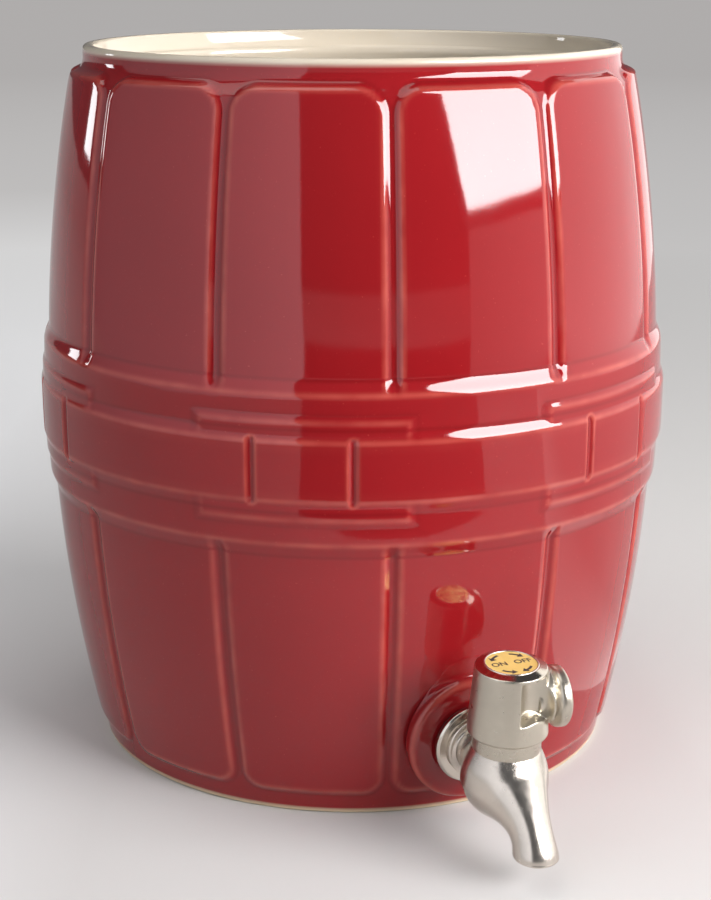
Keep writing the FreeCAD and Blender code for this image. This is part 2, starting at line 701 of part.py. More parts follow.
def make_label_disc():
    """Thin disc in the seat on top of the handle."""
    top = HANDLE_TOP + CROWN_RISE
    disc = Part.makeCylinder(LABEL_RADIUS, LABEL_THICKNESS, Vector(0, 0, top - LABEL_THICKNESS), Z)
    return seat(on_stem(disc))


def build():
    """Every node by name."""
    return {
        "pot_body": make_pot_body(),
        "outer_gasket": make_outer_gasket(),
        "wall_flange": make_wall_flange(),
        "inner_gasket": make_inner_gasket(),
        "backing_washer": make_backing_washer(),
        "lock_nut": make_lock_nut(),
        "tap_body": make_tap_body(),
        "thrust_washer": make_thrust_washer(),
        "bonnet_nut": make_bonnet_nut(),
        "valve_plug": make_valve_plug(),
        "lower_o_ring": seal_ring(-SEAL_HEIGHT),
        "upper_o_ring": seal_ring(SEAL_HEIGHT),
        "handle": make_handle(),
        "handle_screw": make_handle_screw(),
        "label_disc": make_label_disc(),
    }


def main():
    os.makedirs("parts", exist_ok=True)
    for name, shape in build().items():
        shape.exportStep("parts/" + name + ".step")
        print(name, len(shape.Solids), round(shape.Volume, 1), shape.isValid())


main()
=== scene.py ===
"""Glazed barrel, polished tap and plain studio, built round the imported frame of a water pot."""

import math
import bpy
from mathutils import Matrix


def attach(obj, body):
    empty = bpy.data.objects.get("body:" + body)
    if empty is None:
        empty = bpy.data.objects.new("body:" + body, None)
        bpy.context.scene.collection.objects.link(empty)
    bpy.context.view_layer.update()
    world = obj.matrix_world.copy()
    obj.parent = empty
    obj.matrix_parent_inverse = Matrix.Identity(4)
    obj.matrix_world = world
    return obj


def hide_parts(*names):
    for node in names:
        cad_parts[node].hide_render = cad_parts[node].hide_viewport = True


bl_info = {
    "name": "Stoneware Water Pot",
    "version": (1, 0, 0),
    "blender": (4, 5, 0),
    "location": "3D View > Sidebar > Water Pot",
    "description": "Builds the glaze, the metalwork and the studio round a stoneware water pot",
    "category": "Object",
}

import bmesh
import bpy
import numpy as np
from mathutils import Vector

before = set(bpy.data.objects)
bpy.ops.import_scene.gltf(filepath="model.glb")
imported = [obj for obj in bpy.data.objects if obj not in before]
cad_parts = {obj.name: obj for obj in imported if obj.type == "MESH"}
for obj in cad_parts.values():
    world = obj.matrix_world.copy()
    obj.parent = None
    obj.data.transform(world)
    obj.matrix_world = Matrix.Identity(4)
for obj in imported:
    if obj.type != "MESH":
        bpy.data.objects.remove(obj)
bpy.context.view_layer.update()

MM = 0.001
LIP_ROUND = 0.7 * MM
FOOT_ROUND = 1.2 * MM
THREAD_DEPTH = 0.5 * MM
BOSS_FILLET = 3.2 * MM
HUB_FILLET = 3.5 * MM
NECK_FILLET = 1.6 * MM
BROW_SHARE, BROW_WIDTH = 0.80, 1.0 * MM
POOL_SHARE, POOL_WIDTH = 0.10, 0.7 * MM
CAP_LOW, CAP_HIGH, CAP_CORE = 23.5 * MM, 44.0 * MM, 6.8 * MM
DISC_NEAR, DISC_FAR, SKIN_GAP = 14.65 * MM, 30 * MM, 0.03 * MM
POT_MIDDLE, LAMP_AIM = 0.18, 0.16
PANEL_REACH = 1.5


def length(name, default, description):
    """A size in metres that a user may change."""
    return bpy.props.FloatProperty(
        name=name, default=default, description=description, unit="LENGTH", precision=5)


def turn(name, degrees, description):
    """An angle that a user may change."""
    return bpy.props.FloatProperty(
        name=name, default=math.radians(degrees), description=description, unit="ROTATION")


def tint(name, default, description):
    """A colour that a user may change."""
    return bpy.props.FloatVectorProperty(
        name=name, default=default, size=3, min=0, max=1, subtype="COLOR", description=description)


class BarrelSizes(bpy.types.PropertyGroup):
    """Sizes of the stoneware barrel, as the frame has them."""

    belly_radius: length("Belly radius", 127.4 * MM, "Radius over the staves at the widest place")
    belly_height: length("Belly height", 150 * MM, "Height of the widest place")
    bow_radius: length("Bow radius", 650 * MM, "Lengthwise curve of a stave")
    height: length("Height", 290 * MM, "Height of the rim")
    wall: length("Wall", 9 * MM, "Thickness of the wall between staves")
    floor: length("Floor", 10 * MM, "Thickness of the floor")
    floor_corner: length("Floor corner", 12 * MM, "Round between the floor and the wall inside")
    staves: bpy.props.IntProperty(name="Staves", default=12, description="Staves round the barrel")
    relief: length("Stave relief", 1.3 * MM, "How far a stave stands out of its grooves")
    groove: length("Groove width", 3.4 * MM, "Gap between two staves")
    upper_corner: length("Upper corner", 10 * MM, "Round of a stave's top corners")
    lower_corner: length("Lower corner", 8 * MM, "Round of a stave's bottom corners")
    stave_base: length("Stave base", 9.5 * MM, "Height of the staves' lower ends")
    stave_top: length("Stave top", 281 * MM, "Height of the staves' upper ends")
    stave_edge: length("Stave edge", 3.2 * MM, "Width of the soft edge of a stave")
    shoulder: length("Shoulder", 277 * MM, "Height where the wall turns in to the collar")
    collar: length("Collar", 285 * MM, "Height where the collar stands upright")
    collar_radius: length("Collar radius", 108.94 * MM, "Outside of the collar")
    lip: length("Lip", 4.2 * MM, "Thickness of the lip")
    gallery_depth: length("Gallery depth", 7.5 * MM, "Rim down to the ledge for a lid")
    gallery_width: length("Gallery width", 3.5 * MM, "Width of the ledge for a lid")
    hoop_middle: length("Hoop middle", 144.8 * MM, "Height of the hoop's middle")
    hoop_height: length("Hoop height", 62.6 * MM, "Height of the hoop")
    hoop_rise: length("Hoop rise", 1.9 * MM, "How far the hoop stands over the staves")
    hoop_edge: length("Hoop edge", 7.6 * MM, "Width of the hoop's soft edge")
    strap_height: length("Strap height", 27.6 * MM, "Height of the strap round the hoop")
    strap_rise: length("Strap rise", 1.5 * MM, "How far the strap stands over the hoop")
    strap_edge: length("Strap edge", 6.4 * MM, "Width of the strap's soft edge")
    plates: bpy.props.IntProperty(name="Plates", default=6, description="Plates behind the strap")
    plate_height: length("Plate height", 40 * MM, "Height of a plate")
    plate_half: turn("Plate half angle", 18, "From a plate's middle to its end")
    plate_rise: length("Plate rise", 0.8 * MM, "How far a plate stands over the hoop")
    slot_angle: turn("Slot angle", 8.3, "From a plate's middle to each upright slot")
    slot_depth: length("Slot depth", 1.0 * MM, "Depth of an upright slot in the strap")


class TapSizes(bpy.types.PropertyGroup):
    """Sizes of the boss and the tap, as the frame has them."""

    height: length("Tap height", 33.5 * MM, "Height of the shank's axis at the boss")
    face: length("Boss face", 122.528 * MM, "From the pot's axis to the boss's face")
    lean: turn("Lean", 4.5, "How far the tap's top leans outwards")
    boss_radius: length("Boss radius", 25 * MM, "Radius of the boss")
    boss_edge: length("Boss edge", 2.5 * MM, "Round of the boss's edge")
    seat_depth: length("Seat depth", 12.5 * MM, "From the boss's face to the seat inside")
    seat_radius: length("Seat radius", 17 * MM, "Radius of the flat seat inside")
    hole_radius: length("Hole radius", 8.6 * MM, "Radius of the hole in the wall")
    shank_radius: length("Shank radius", 7.9 * MM, "Outside of the shank's thread")
    shank_bore: length("Shank bore", 4.5 * MM, "Radius of the waterway in the shank")
    shank_end: length("Shank end", 26 * MM, "From the boss's face to the shank's inner end")
    pitch: length("Thread pitch", 1.6 * MM, "Distance between two turns of thread")
    shoulder: length("Shoulder", 4 * MM, "From the boss's face to the casting's shoulder")
    shoulder_radius: length("Shoulder radius", 12 * MM, "Radius of the casting's shoulder")
    shoulder_width: length("Shoulder width", 2.2 * MM, "Thickness of the casting's shoulder")
    hub_radius: length("Hub radius", 9.3 * MM, "Radius of the hub behind the bulb")
    stem_out: length("Stem out", 29.1 * MM, "From the boss's face to the stem's axis")
    bulb_radius: length("Bulb radius", 16 * MM, "Radius of the bulb")
    neck_radius: length("Neck radius", 12.8 * MM, "Radius of the neck under the bonnet ring")
    neck_top: length("Neck top", 12.6 * MM, "Height of the neck over the shank's axis")
    knee_out: length("Knee out", 23.7 * MM, "Knee of the spout's curve, from the stem")
    knee_drop: length("Knee drop", 5 * MM, "Drop of the knee")
    reach: length("Reach", 27.7 * MM, "From the stem to the outlet")
    drop: length("Drop", 17.8 * MM, "From the shank's axis down to the outlet")
    outlet: length("Outlet", 8.5 * MM, "Outside radius of the outlet")
    waist: length("Waist", 1.7 * MM, "How much thinner the spout is in its middle")
    spout_bore: length("Spout bore", 5.9 * MM, "Radius of the waterway in the spout")
    cap_base: length("Cap base", 18.8 * MM, "Height of the cap's foot over the shank's axis")
    cap_top: length("Cap top", 45.3 * MM, "Height of the cap's upper edge")
    cap_foot: length("Cap foot radius", 15.0 * MM, "Radius of the cap at its foot")
    cap_brow: length("Cap upper radius", 13.4 * MM, "Radius of the cap at its upper edge")
    lever_turn: turn("Lever turn", 12, "From +X outwards to the lever")
    knob_turn: turn("Knob turn", 3, "From +X outwards to the knob's own axis")
    knob_middle: length("Knob middle", 17.6 * MM, "From the stem to the knob's middle")
    knob_height: length("Knob height", 32.4 * MM, "Height of the knob over the shank's axis")
    scoop_out: length("Scoop out", 7.7 * MM, "From the stem to each scoop, along the lever")
    scoop_side: length("Scoop side", 13.5 * MM, "From the lever's middle to each scoop")
    scoop_radius: length("Scoop radius", 7.0 * MM, "Radius of a finger scoop")
    scoop_floor: length("Scoop floor", 27.3 * MM, "Height of a scoop's floor at the skin")
    label_radius: length("Label radius", 9.5 * MM, "Radius of the label on the handle")
    label_top: length("Label top", 46.5 * MM, "Height of the label over the shank's axis")


class Finishes(bpy.types.PropertyGroup):
    """Colours of the glaze, the metals and the label."""

    glaze: tint("Glaze", (0.242, 0.0078, 0.0105), "Red glaze where it lies thick")
    glaze_deep: tint("Deep glaze", (0.15, 0.003, 0.004), "Red glaze where it pools")
    glaze_thin: tint("Thin glaze", (0.50, 0.105, 0.075), "Glaze that breaks over an edge")
    cream: tint("Cream", (0.545, 0.48, 0.38), "Cream glaze of the lip and the inside")
    bare: tint("Bare clay", (0.62, 0.50, 0.33), "Unglazed ring of the foot")
    nickel: tint("Nickel", (0.59, 0.54, 0.455), "Satin nickel")
    polished: tint("Polished nickel", (0.68, 0.62, 0.55), "Polished nickel of the casting")
    brass: tint("Brass", (0.66, 0.47, 0.19), "Brass of the nut and the plug")
    gold: tint("Label gold", (0.80, 0.62, 0.17), "Gold of the label")
    ink: tint("Label ink", (0.018, 0.016, 0.014), "Print on the label")
    rubber: tint("Rubber", (0.02, 0.02, 0.021), "Rubber of the gaskets")


class StudioSettings(bpy.types.PropertyGroup):
    """Camera and light of the studio."""

    camera_place: bpy.props.FloatVectorProperty(
        name="Camera place", default=(-0.28618, -0.71549, 0.33121), subtype="TRANSLATION",
        description="Where the camera stands")
    camera_pitch: turn("Camera pitch", 15.4856, "How far the camera looks down")
    camera_turn: turn("Camera turn", -21.8, "Heading of the camera, from along +Y")
    lens: bpy.props.FloatProperty(name="Lens", default=74.134, description="Focal length in mm")
    shift: bpy.props.FloatProperty(name="Shift", default=0.00336, description="Sideways shift")
    flag_reach: length("Flag reach", 0.45, "From the pot's axis to the dark card in front")
    # Floor tones run from pale near the pot to grey far out: the paper is painted darker with
    # distance, a painted falloff of light.
    far_grey: tint("Far grey", (0.430, 0.415, 0.410), "Backdrop far behind the pot")
    mid_grey: tint("Middle grey", (0.55, 0.54, 0.537), "Backdrop behind the pot")
    # Pale colour painted on the floor in the pot's shadow on the left, for the camera only: painted
    # light that lifts that shadow.
    painted_shadow_lift: tint("Left pale", (0.80, 0.80, 0.805), "Floor in the pot's shadow on the left")
    near_pale: tint("Near pale", (0.575, 0.567, 0.555), "Floor round the pot")


def soft_step(distance, width):
    """0 to 1 over the width: 3t^2 - 2t^3 of t = distance / width."""
    share = np.clip(distance / width, 0, 1)
    return share * share * (3 - 2 * share)


def smooth_min(first, second, blend):
    """The smaller of two distances, with the corner between them rounded over the blend."""
    share = np.clip(0.5 + 0.5 * (second - first) / blend, 0, 1)
    return second + (first - second) * share - blend * share * (1 - share)


def smooth_max(first, second, blend):
    """The larger of two heights, with the corner between them rounded over the blend."""
    return -smooth_min(-first, -second, blend)


def full_turn(count):
    """Angles of a full turn in even steps."""
    return np.linspace(0, 2 * math.pi, count, endpoint=False)


def place_object(name, data):
    """A new object with this data, linked to the scene."""
    made = bpy.data.objects.new(name, data)
    bpy.context.scene.collection.objects.link(made)
    return made


def mesh_points(mesh):
    """Places of a mesh's vertices."""
    flat = np.zeros(len(mesh.vertices) * 3)
    mesh.vertices.foreach_get("co", flat)
    return flat.reshape(-1, 3)


def mesh_piece(name, vertices, *faces):
    """A smooth-shaded mesh from an array of points and arrays of triangles or quads."""
    mesh = bpy.data.meshes.new(name)
    corners = np.concatenate([part.reshape(-1) for part in faces]).astype(np.int32)
    totals = np.concatenate([np.full(len(part), part.shape[1]) for part in faces])
    starts = np.concatenate([[0], np.cumsum(totals)[:-1]]).astype(np.int32)
    mesh.vertices.add(len(vertices))
    mesh.vertices.foreach_set("co", np.asarray(vertices, np.float32).ravel())
    mesh.loops.add(len(corners))
    mesh.loops.foreach_set("vertex_index", corners)
    mesh.polygons.add(len(totals))
    mesh.polygons.foreach_set("loop_start", starts)
    mesh.update(calc_edges=True)
    mesh.validate()
    mesh.shade_smooth()
    return place_object(name, mesh)


def grid_faces(rows, columns, ring=False, flip=False):
    """Quads between the rows of a grid whose columns close on themselves.

    With ring set, the last row meets the first one too.
    """
    index = np.arange(rows * columns).reshape(rows, columns)
    if ring:
        index = np.concatenate([index, index[:1]])
    right = np.roll(index, -1, axis=1)
    quads = np.stack([index[:-1], right[:-1], right[1:], index[1:]], axis=-1).reshape(-1, 4)
    return quads[:, ::-1] if flip else quads


def fan_faces(ring, pole, flip=False):
    """Triangles from a ring of vertices to one pole, facing away from the next row."""
    triangles = np.stack([np.full(len(ring), pole), np.roll(ring, -1), ring], axis=-1)
    return triangles[:, ::-1] if flip else triangles


def closed_tube(name, grid, first_pole, last_pole):
    """A closed mesh from a grid of points (rows, columns, 3) with a pole at each end."""
    rows, columns = grid.shape[:2]
    count = rows * columns
    vertices = np.concatenate([grid.reshape(-1, 3), [first_pole, last_pole]])
    ring = np.arange(columns)
    last = ring + (rows - 1) * columns
    return mesh_piece(name, vertices, grid_faces(rows, columns),
                      fan_faces(ring, count), fan_faces(last, count + 1, flip=True))


def point_values(piece, name, values):
    """Store one number per vertex for a material to read."""
    layer = piece.data.attributes.new(name, "FLOAT", "POINT")
    layer.data.foreach_set("value", np.asarray(values, np.float32).ravel())


def wear(piece, material, body, *nodes, slot=None):
    """Give a piece its material and body, and let it stand for its CAD nodes."""
    piece.data.materials.clear()
    piece.data.materials.append(material)
    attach(piece, body)
    if nodes:
        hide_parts(*nodes)
    return piece


def stave_radius(height, sizes):
    """Outside of the barrel over the staves: an arc of the bow radius, widest at the belly."""
    rise = height - sizes.belly_height
    return sizes.belly_radius - sizes.bow_radius + np.sqrt(sizes.bow_radius ** 2 - rise ** 2)


def wall_radius(height, sizes):
    """The wall between staves, then a hollow flare in to the upright collar.

    The flare's radius falls from the shoulder to the collar as (1 - t)^1.84.
    """
    plain = stave_radius(np.minimum(height, sizes.shoulder), sizes) - sizes.relief
    share = np.clip((height - sizes.shoulder) / (sizes.collar - sizes.shoulder), 0, 1)
    return sizes.collar_radius + (plain - sizes.collar_radius) * np.where(
        height > sizes.shoulder, (1 - share) ** 1.84, 1)


def raised(distance, edge):
    """Height share of a raised field, and how thin the glaze runs over its brow.

    The distance is measured inwards from the field's outline. The height follows a
    soft step over the edge, two fifths of it outside the outline. The brow is a bell
    curve exp(-(d / width)^2) near the top of the step, less a bell at its foot, where
    the glaze pools.
    """
    share = distance / edge + 0.4
    thin = np.exp(-((share - BROW_SHARE) * edge / BROW_WIDTH) ** 2)
    pool = np.exp(-((share - POOL_SHARE) * edge / POOL_WIDTH) ** 2)
    return soft_step(share, 1), 0.85 * thin - 0.7 * pool


def stave_field(angle, height, sizes):
    """Distance inside a stave's outline: a rectangle with two round corners at its free end."""
    pitch = 2 * math.pi / sizes.staves
    local = (angle + pitch / 2) % pitch - pitch / 2
    radius = stave_radius(height, sizes)
    half = radius * math.sin(pitch / 2) - sizes.groove / 2
    across = np.abs(radius * np.sin(local))
    upper = height > sizes.hoop_middle
    corner = np.where(upper, sizes.upper_corner, sizes.lower_corner)
    past = np.where(upper, height - sizes.stave_top, sizes.stave_base - height) + corner
    out = across - (half - corner)
    round_part = np.hypot(np.maximum(out, 0), np.maximum(past, 0))
    inner = np.minimum(np.maximum(out, past), 0)
    return corner - round_part - inner


def band_field(angle, height, sizes):
    """Rise of the plates and the strap over the hoop, less the slots, and their brows."""
    pitch = 2 * math.pi / sizes.plates
    local = angle % pitch - pitch / 2
    radius = stave_radius(height, sizes)
    off = np.abs(height - sizes.hoop_middle)
    along = radius * np.abs(local)
    plate_in = np.minimum(sizes.plate_height / 2 - off, radius * sizes.plate_half - along)
    plate, plate_brow = raised(plate_in, 0.6 * sizes.strap_edge)
    strap, strap_brow = raised(sizes.strap_height / 2 - off, sizes.strap_edge)
    rise = smooth_max(sizes.plate_rise * plate, sizes.strap_rise * strap, 0.25 * MM)
    reach = sizes.strap_height / 2 - 2.6 * MM
    aside = radius * np.abs(np.abs(local) - sizes.slot_angle)
    apart = np.hypot(aside, np.maximum(off - reach, 0))
    slot = 1 - soft_step(apart - 0.2 * MM, 1.7 * MM)
    slot_brow = (0.9 * np.exp(-((apart - 1.9 * MM) / (0.6 * MM)) ** 2)
                 - 0.3 * np.exp(-(apart / (0.7 * MM)) ** 2))
    brow = 0.8 * plate_brow * (1 - strap) + strap_brow * (1 - slot) + slot_brow
    return rise - sizes.slot_depth * slot, brow


def barrel_surface(angle, height, sizes):
    """Radius of the glazed outside at each angle and height, and its brows.

    The wall is lifted to the staves, then to the hoop, then by the band on the hoop.
    Each lift is a blend between two radii, so that no step is left between them.
    """
    wall = wall_radius(height, sizes)
    over = stave_radius(height, sizes)
    stave, stave_brow = raised(stave_field(angle, height, sizes), sizes.stave_edge)
    radius = wall + (over - wall) * stave
    off = np.abs(height - sizes.hoop_middle)
    hoop, hoop_brow = raised(sizes.hoop_height / 2 - off, sizes.hoop_edge)
    band, band_brow = band_field(angle, height, sizes)
    radius = radius + (over + sizes.hoop_rise + band - radius) * hoop
    brow = stave_brow * (1 - hoop) + hoop_brow + band_brow * hoop
    return radius, np.clip(brow, -1, 1)


def spread(*stops):
    """Values from stop to stop. Each stop is (value, largest step up to it from the last)."""
    values = [stops[0][0]]
    for value, step in stops[1:]:
        count = max(1, math.ceil((value - values[-1]) / step - 1e-6))
        values.extend(np.linspace(values[-1], value, count + 1)[1:])
    return np.array(values)


def barrel_angles(sizes):
    """Columns of the barrel: close together over grooves, slots and corners, wide between."""
    pitch = 360.0 / sizes.staves
    corner = math.degrees((sizes.upper_corner + 3 * MM) / sizes.belly_radius)
    groove = spread((-corner, 1), (-1.6, 0.75), (1.6, 0.27), (corner, 0.75))
    near = (groove[None, :] + pitch * (np.arange(sizes.staves)[:, None] + 0.5)).ravel()
    slot = math.degrees(sizes.slot_angle)
    fine = spread((-1.5, 1), (1.5, 0.33))
    middles = 360.0 / sizes.plates * (np.arange(sizes.plates) + 0.5)
    slots = (np.concatenate([middles - slot, middles + slot])[:, None] + fine).ravel()
    between = (np.linspace(-9, 9, 7)[None, :] + pitch * np.arange(sizes.staves)[:, None]).ravel()
    angles = np.sort(np.concatenate([near, slots, between]) % 360.0)
    keep = np.concatenate([[True], np.diff(angles) > 0.2])
    return np.radians(angles[keep])


def barrel_heights(sizes):
    """Rows of the outside: close together over every edge of the relief."""
    low = sizes.hoop_middle - sizes.hoop_height / 2
    high = sizes.hoop_middle + sizes.hoop_height / 2
    plate = sizes.plate_height / 2
    strap = sizes.strap_height / 2
    mid = sizes.hoop_middle
    top = sizes.stave_top
    edge = 2 * MM
    stops = [
        (FOOT_ROUND, 1), (sizes.stave_base - edge, 1.6 * MM), (sizes.stave_base + edge, 0.55 * MM),
        (sizes.stave_base + sizes.lower_corner, 1.0 * MM), (low - 1.6 * edge, 9 * MM),
        (low + 2.4 * edge, 0.6 * MM), (mid - plate - edge, 2 * MM), (mid - plate + edge, 0.5 * MM),
        (mid - strap - edge, 2 * MM), (mid - strap + 2 * edge, 0.5 * MM),
        (mid + strap - 2 * edge, 3.5 * MM), (mid + strap + edge, 0.5 * MM),
        (mid + plate - edge, 2 * MM), (mid + plate + edge, 0.5 * MM), (high - 2.4 * edge, 2 * MM),
        (high + 1.6 * edge, 0.6 * MM), (top - sizes.upper_corner, 9 * MM), (top - edge, 1.0 * MM),
        (top + 0.7 * edge, 0.5 * MM), (sizes.collar, 0.9 * MM), (sizes.height - 1.8 * MM, 0.8 * MM),
    ]
    return spread(*stops)


def revolve(angles, radii, heights):
    """Points of a turned surface, rows by columns. Angle 0 is in front, and +X is at 90."""
    radii = np.broadcast_to(np.asarray(radii), (len(heights), len(angles)))
    up = np.broadcast_to(np.asarray(heights)[:, None], radii.shape)
    return np.stack([radii * np.sin(angles), -radii * np.cos(angles), up], axis=-1)


def quarter(start, end, bulge, count=6):
    """Points of a quarter ellipse between two (radius, height) points, without the first.

    The bulge is the corner that the curve leaves towards from the start.
    """
    turns = np.linspace(0, math.pi / 2, count)[1:, None]
    start, end, bulge = np.array(start), np.array(end), np.array(bulge)
    return bulge + (start - bulge) * (1 - np.sin(turns)) + (end - bulge) * (1 - np.cos(turns))


def inner_outline(sizes):
    """Outline of the lip, the gallery, the inside wall and the floor, from the collar inwards."""
    collar, top = sizes.collar_radius, sizes.height
    mouth = collar - sizes.lip
    ledge = mouth - sizes.gallery_width
    ledge_height = top - sizes.gallery_depth
    band = ledge_height - 3.5 * MM
    slope = band - 12 * MM
    inset = sizes.relief + sizes.wall
    low = sizes.floor + sizes.floor_corner
    low_radius = float(stave_radius(low, sizes)) - inset
    walls = spread((low, 1), (slope, 14 * MM))[::-1]
    lip = 1.8 * MM
    inside = 1.2 * MM
    return np.concatenate([
        quarter((collar, top - lip), (collar - lip, top), (collar, top), 7),
        quarter((mouth + inside, top), (mouth, top - inside), (mouth, top), 5),
        [(mouth, ledge_height + 0.8 * MM), (mouth - 0.8 * MM, ledge_height)],
        [(ledge + 0.6 * MM, ledge_height), (ledge, ledge_height - 0.6 * MM), (ledge, band)],
        np.stack([stave_radius(walls, sizes) - inset, walls], axis=-1),
        quarter((low_radius, low), (low_radius - sizes.floor_corner, sizes.floor),
                (low_radius, sizes.floor), 7),
        [(0.5 * low_radius, sizes.floor), (0.05 * low_radius, sizes.floor)],
    ])


def tap_point(x, out, up, tap):
    """Points of the tap's own frame in the pot's frame: out from the boss face, up the stem."""
    lean = tap.lean
    y = -tap.face - out * math.cos(lean) - up * math.sin(lean)
    z = tap.height - out * math.sin(lean) + up * math.cos(lean)
    return np.stack(np.broadcast_arrays(x, y, z), axis=-1)


def tap_coordinates(points, tap):
    """The pot's frame turned back into the tap's: (x, out, up)."""
    lean = tap.lean
    back, rise = -points[..., 1] - tap.face, points[..., 2] - tap.height
    out = back * math.cos(lean) - rise * math.sin(lean)
    up = back * math.sin(lean) + rise * math.cos(lean)
    return points[..., 0], out, up


def shank_rings(radii, outs, turns, tap):
    """Rings about the shank's axis, at these distances out from the boss's face."""
    return tap_point(radii * np.sin(turns), outs, radii * np.cos(turns), tap)


def arm_point(along, across, up, lean, tap):
    """Points along and across an arm that leaves the stem at this turn outwards from +X."""
    return tap_point(along * math.cos(lean) + across * math.sin(lean),
                     tap.stem_out + along * math.sin(lean) - across * math.cos(lean), up, tap)


def boss_distance(points, sizes, tap):
    """Distance outside the barrel and its boss, with a soft fillet between the two.

    The boss is a cylinder with a rounded edge, and the barrel's distance is measured
    along its radius.
    """
    x, out, up = tap_coordinates(points, tap)
    edge = tap.boss_edge
    aside = np.hypot(x, up) - (tap.boss_radius - edge)
    proud = out + edge
    boss = (np.hypot(np.maximum(aside, 0), np.maximum(proud, 0))
            + np.minimum(np.maximum(aside, proud), 0) - edge)
    angle = np.arctan2(points[..., 0], -points[..., 1])
    around = np.hypot(points[..., 0], points[..., 1])
    barrel = around - barrel_surface(angle, points[..., 2], sizes)[0]
    return smooth_min(boss, barrel, BOSS_FILLET)


def find_along(distance, starts, directions, reach, steps=26):
    """Points where the distance turns from negative to positive along each ray, by halving."""
    near = np.zeros(starts.shape[:-1])
    far = np.broadcast_to(reach, near.shape).astype(float)
    for _ in range(steps):
        middle = (near + far) / 2
        inside = distance(starts + directions * middle[..., None]) < 0
        near = np.where(inside, middle, near)
        far = np.where(inside, far, middle)
    return starts + directions * ((near + far) / 2)[..., None]


def boss_points(sizes, tap):
    """The boss and the wall close round it, as seen from a point behind the boss's face.

    Each ray leaves that point at an angle from the boss's axis, from the hole's edge up
    to 77 degrees, and ends on the blended surface. The last rings turn in under the
    barrel's glaze and back to the hole, so that the boss is closed like a ring.
    """
    turns = full_turn(160)
    depth = 11 * MM
    first = math.degrees(math.atan(tap.hole_radius / depth))
    tilts = np.radians(spread((first, 1), (56, 4.5), (70, 0.8), (77.5, 0.75)))
    tilt, around = np.meshgrid(tilts, turns, indexing="ij")
    aim = tap_point(np.sin(tilt) * np.sin(around), np.cos(tilt),
                    np.sin(tilt) * np.cos(around), tap) - tap_point(0.0, 0.0, 0.0, tap)
    start = np.broadcast_to(tap_point(0.0, -depth, 0.0, tap), aim.shape)
    grid = find_along(lambda p: boss_distance(p, sizes, tap), start, aim, 60 * MM)
    grid[-1] -= aim[-1] * 0.5 * MM
    inward = grid[-1] * [0.965, 0.965, 1]
    hole = shank_rings(tap.hole_radius, -9 * MM, turns, tap)
    return np.concatenate([grid, [inward, hole]])


def cut_seat(piece, tap):
    """Drill the tap's hole and sink the flat seat inside, with two cylinders."""
    turns = full_turn(96)
    for radius, near, far in ((tap.seat_radius, tap.seat_depth, 40 * MM),
                              (tap.hole_radius, 0.6 * MM, 30 * MM)):
        rings = np.stack([shank_rings(radius, out, turns, tap) for out in (-far, -near)])
        ends = [tap_point(0.0, out, 0.0, tap) for out in (-far, -near)]
        cut_with(piece, closed_tube("seat_tool", rings, *ends))


def set_outward(piece):
    """Recalculate the faces of a closed piece so that they point outwards."""
    work = bmesh.new()
    work.from_mesh(piece.data)
    bmesh.ops.recalc_face_normals(work, faces=work.faces)
    work.to_mesh(piece.data)
    work.free()


def evaluated_mesh(holder):
    """The mesh that an object's modifiers or text make."""
    bpy.context.view_layer.update()
    seen = holder.evaluated_get(bpy.context.evaluated_depsgraph_get())
    return bpy.data.meshes.new_from_object(seen)


def bake_modifiers(piece):
    """Replace the piece's mesh by what its modifiers make of it."""
    made, old = evaluated_mesh(piece), piece.data
    piece.modifiers.clear()
    piece.data = made
    bpy.data.meshes.remove(old)


def canal_centre(share, tap):
    """Middle line of the spout, from the bulb at 0 to the outlet at 1, as (out, up).

    A curve with one knee: (1-t)^2 start + 2t(1-t) knee + t^2 end.
    """
    within, after = 2 * share * (1 - share), share ** 2
    out = tap.stem_out + within * tap.knee_out + after * tap.reach
    up = -within * tap.knee_drop - after * tap.drop
    return out, up


def canal_radius(share, tap):
    """Outside radius of the spout: wide at the bulb, waisted, and opening at the outlet."""
    swell = (tap.bulb_radius - tap.outlet) * np.clip(1 - share, 0, 1) ** 2
    return tap.outlet + swell - tap.waist * np.sin(math.pi * np.clip(share, 0, 1))


def casting_distance(place, tap):
    """Distance outside the hub, bulb, neck and spout, blended where they meet.

    The bulb and the spout are the envelope of balls along the spout's middle line.
    The neck is an arc turned about the stem, closed by a flat top. The hub is a cylinder
    along the shank. Each pair is joined by a smooth minimum.
    """
    x, out, up = place[..., 0], place[..., 1], place[..., 2]
    shares = np.linspace(0, 1.12, 40)
    centre_out, centre_up = canal_centre(shares, tap)
    spout = np.full(x.shape, 1.0)
    for far, low, radius in zip(centre_out, centre_up, canal_radius(shares, tap)):
        ball = np.sqrt(x ** 2 + (out - far) ** 2 + (up - low) ** 2) - radius
        spout = np.minimum(spout, ball)
    side = tap.bulb_radius - tap.neck_radius
    swell = (side ** 2 + tap.neck_top ** 2) / (2 * side)
    lift = np.clip(up, 0, tap.neck_top)
    outline = tap.bulb_radius - swell + np.sqrt(swell ** 2 - lift ** 2)
    outline = outline - 0.6 * MM * soft_step(up - tap.neck_top, 0.5 * MM)
    neck = np.hypot(x, out - tap.stem_out) - outline
    neck = np.maximum(np.maximum(neck, up - tap.neck_top - 1.4 * MM), -up - 2 * MM)
    hub = np.maximum(np.hypot(x, up) - tap.hub_radius, out - tap.stem_out)
    body = smooth_min(spout, neck, NECK_FILLET)
    return smooth_min(body, hub, HUB_FILLET)


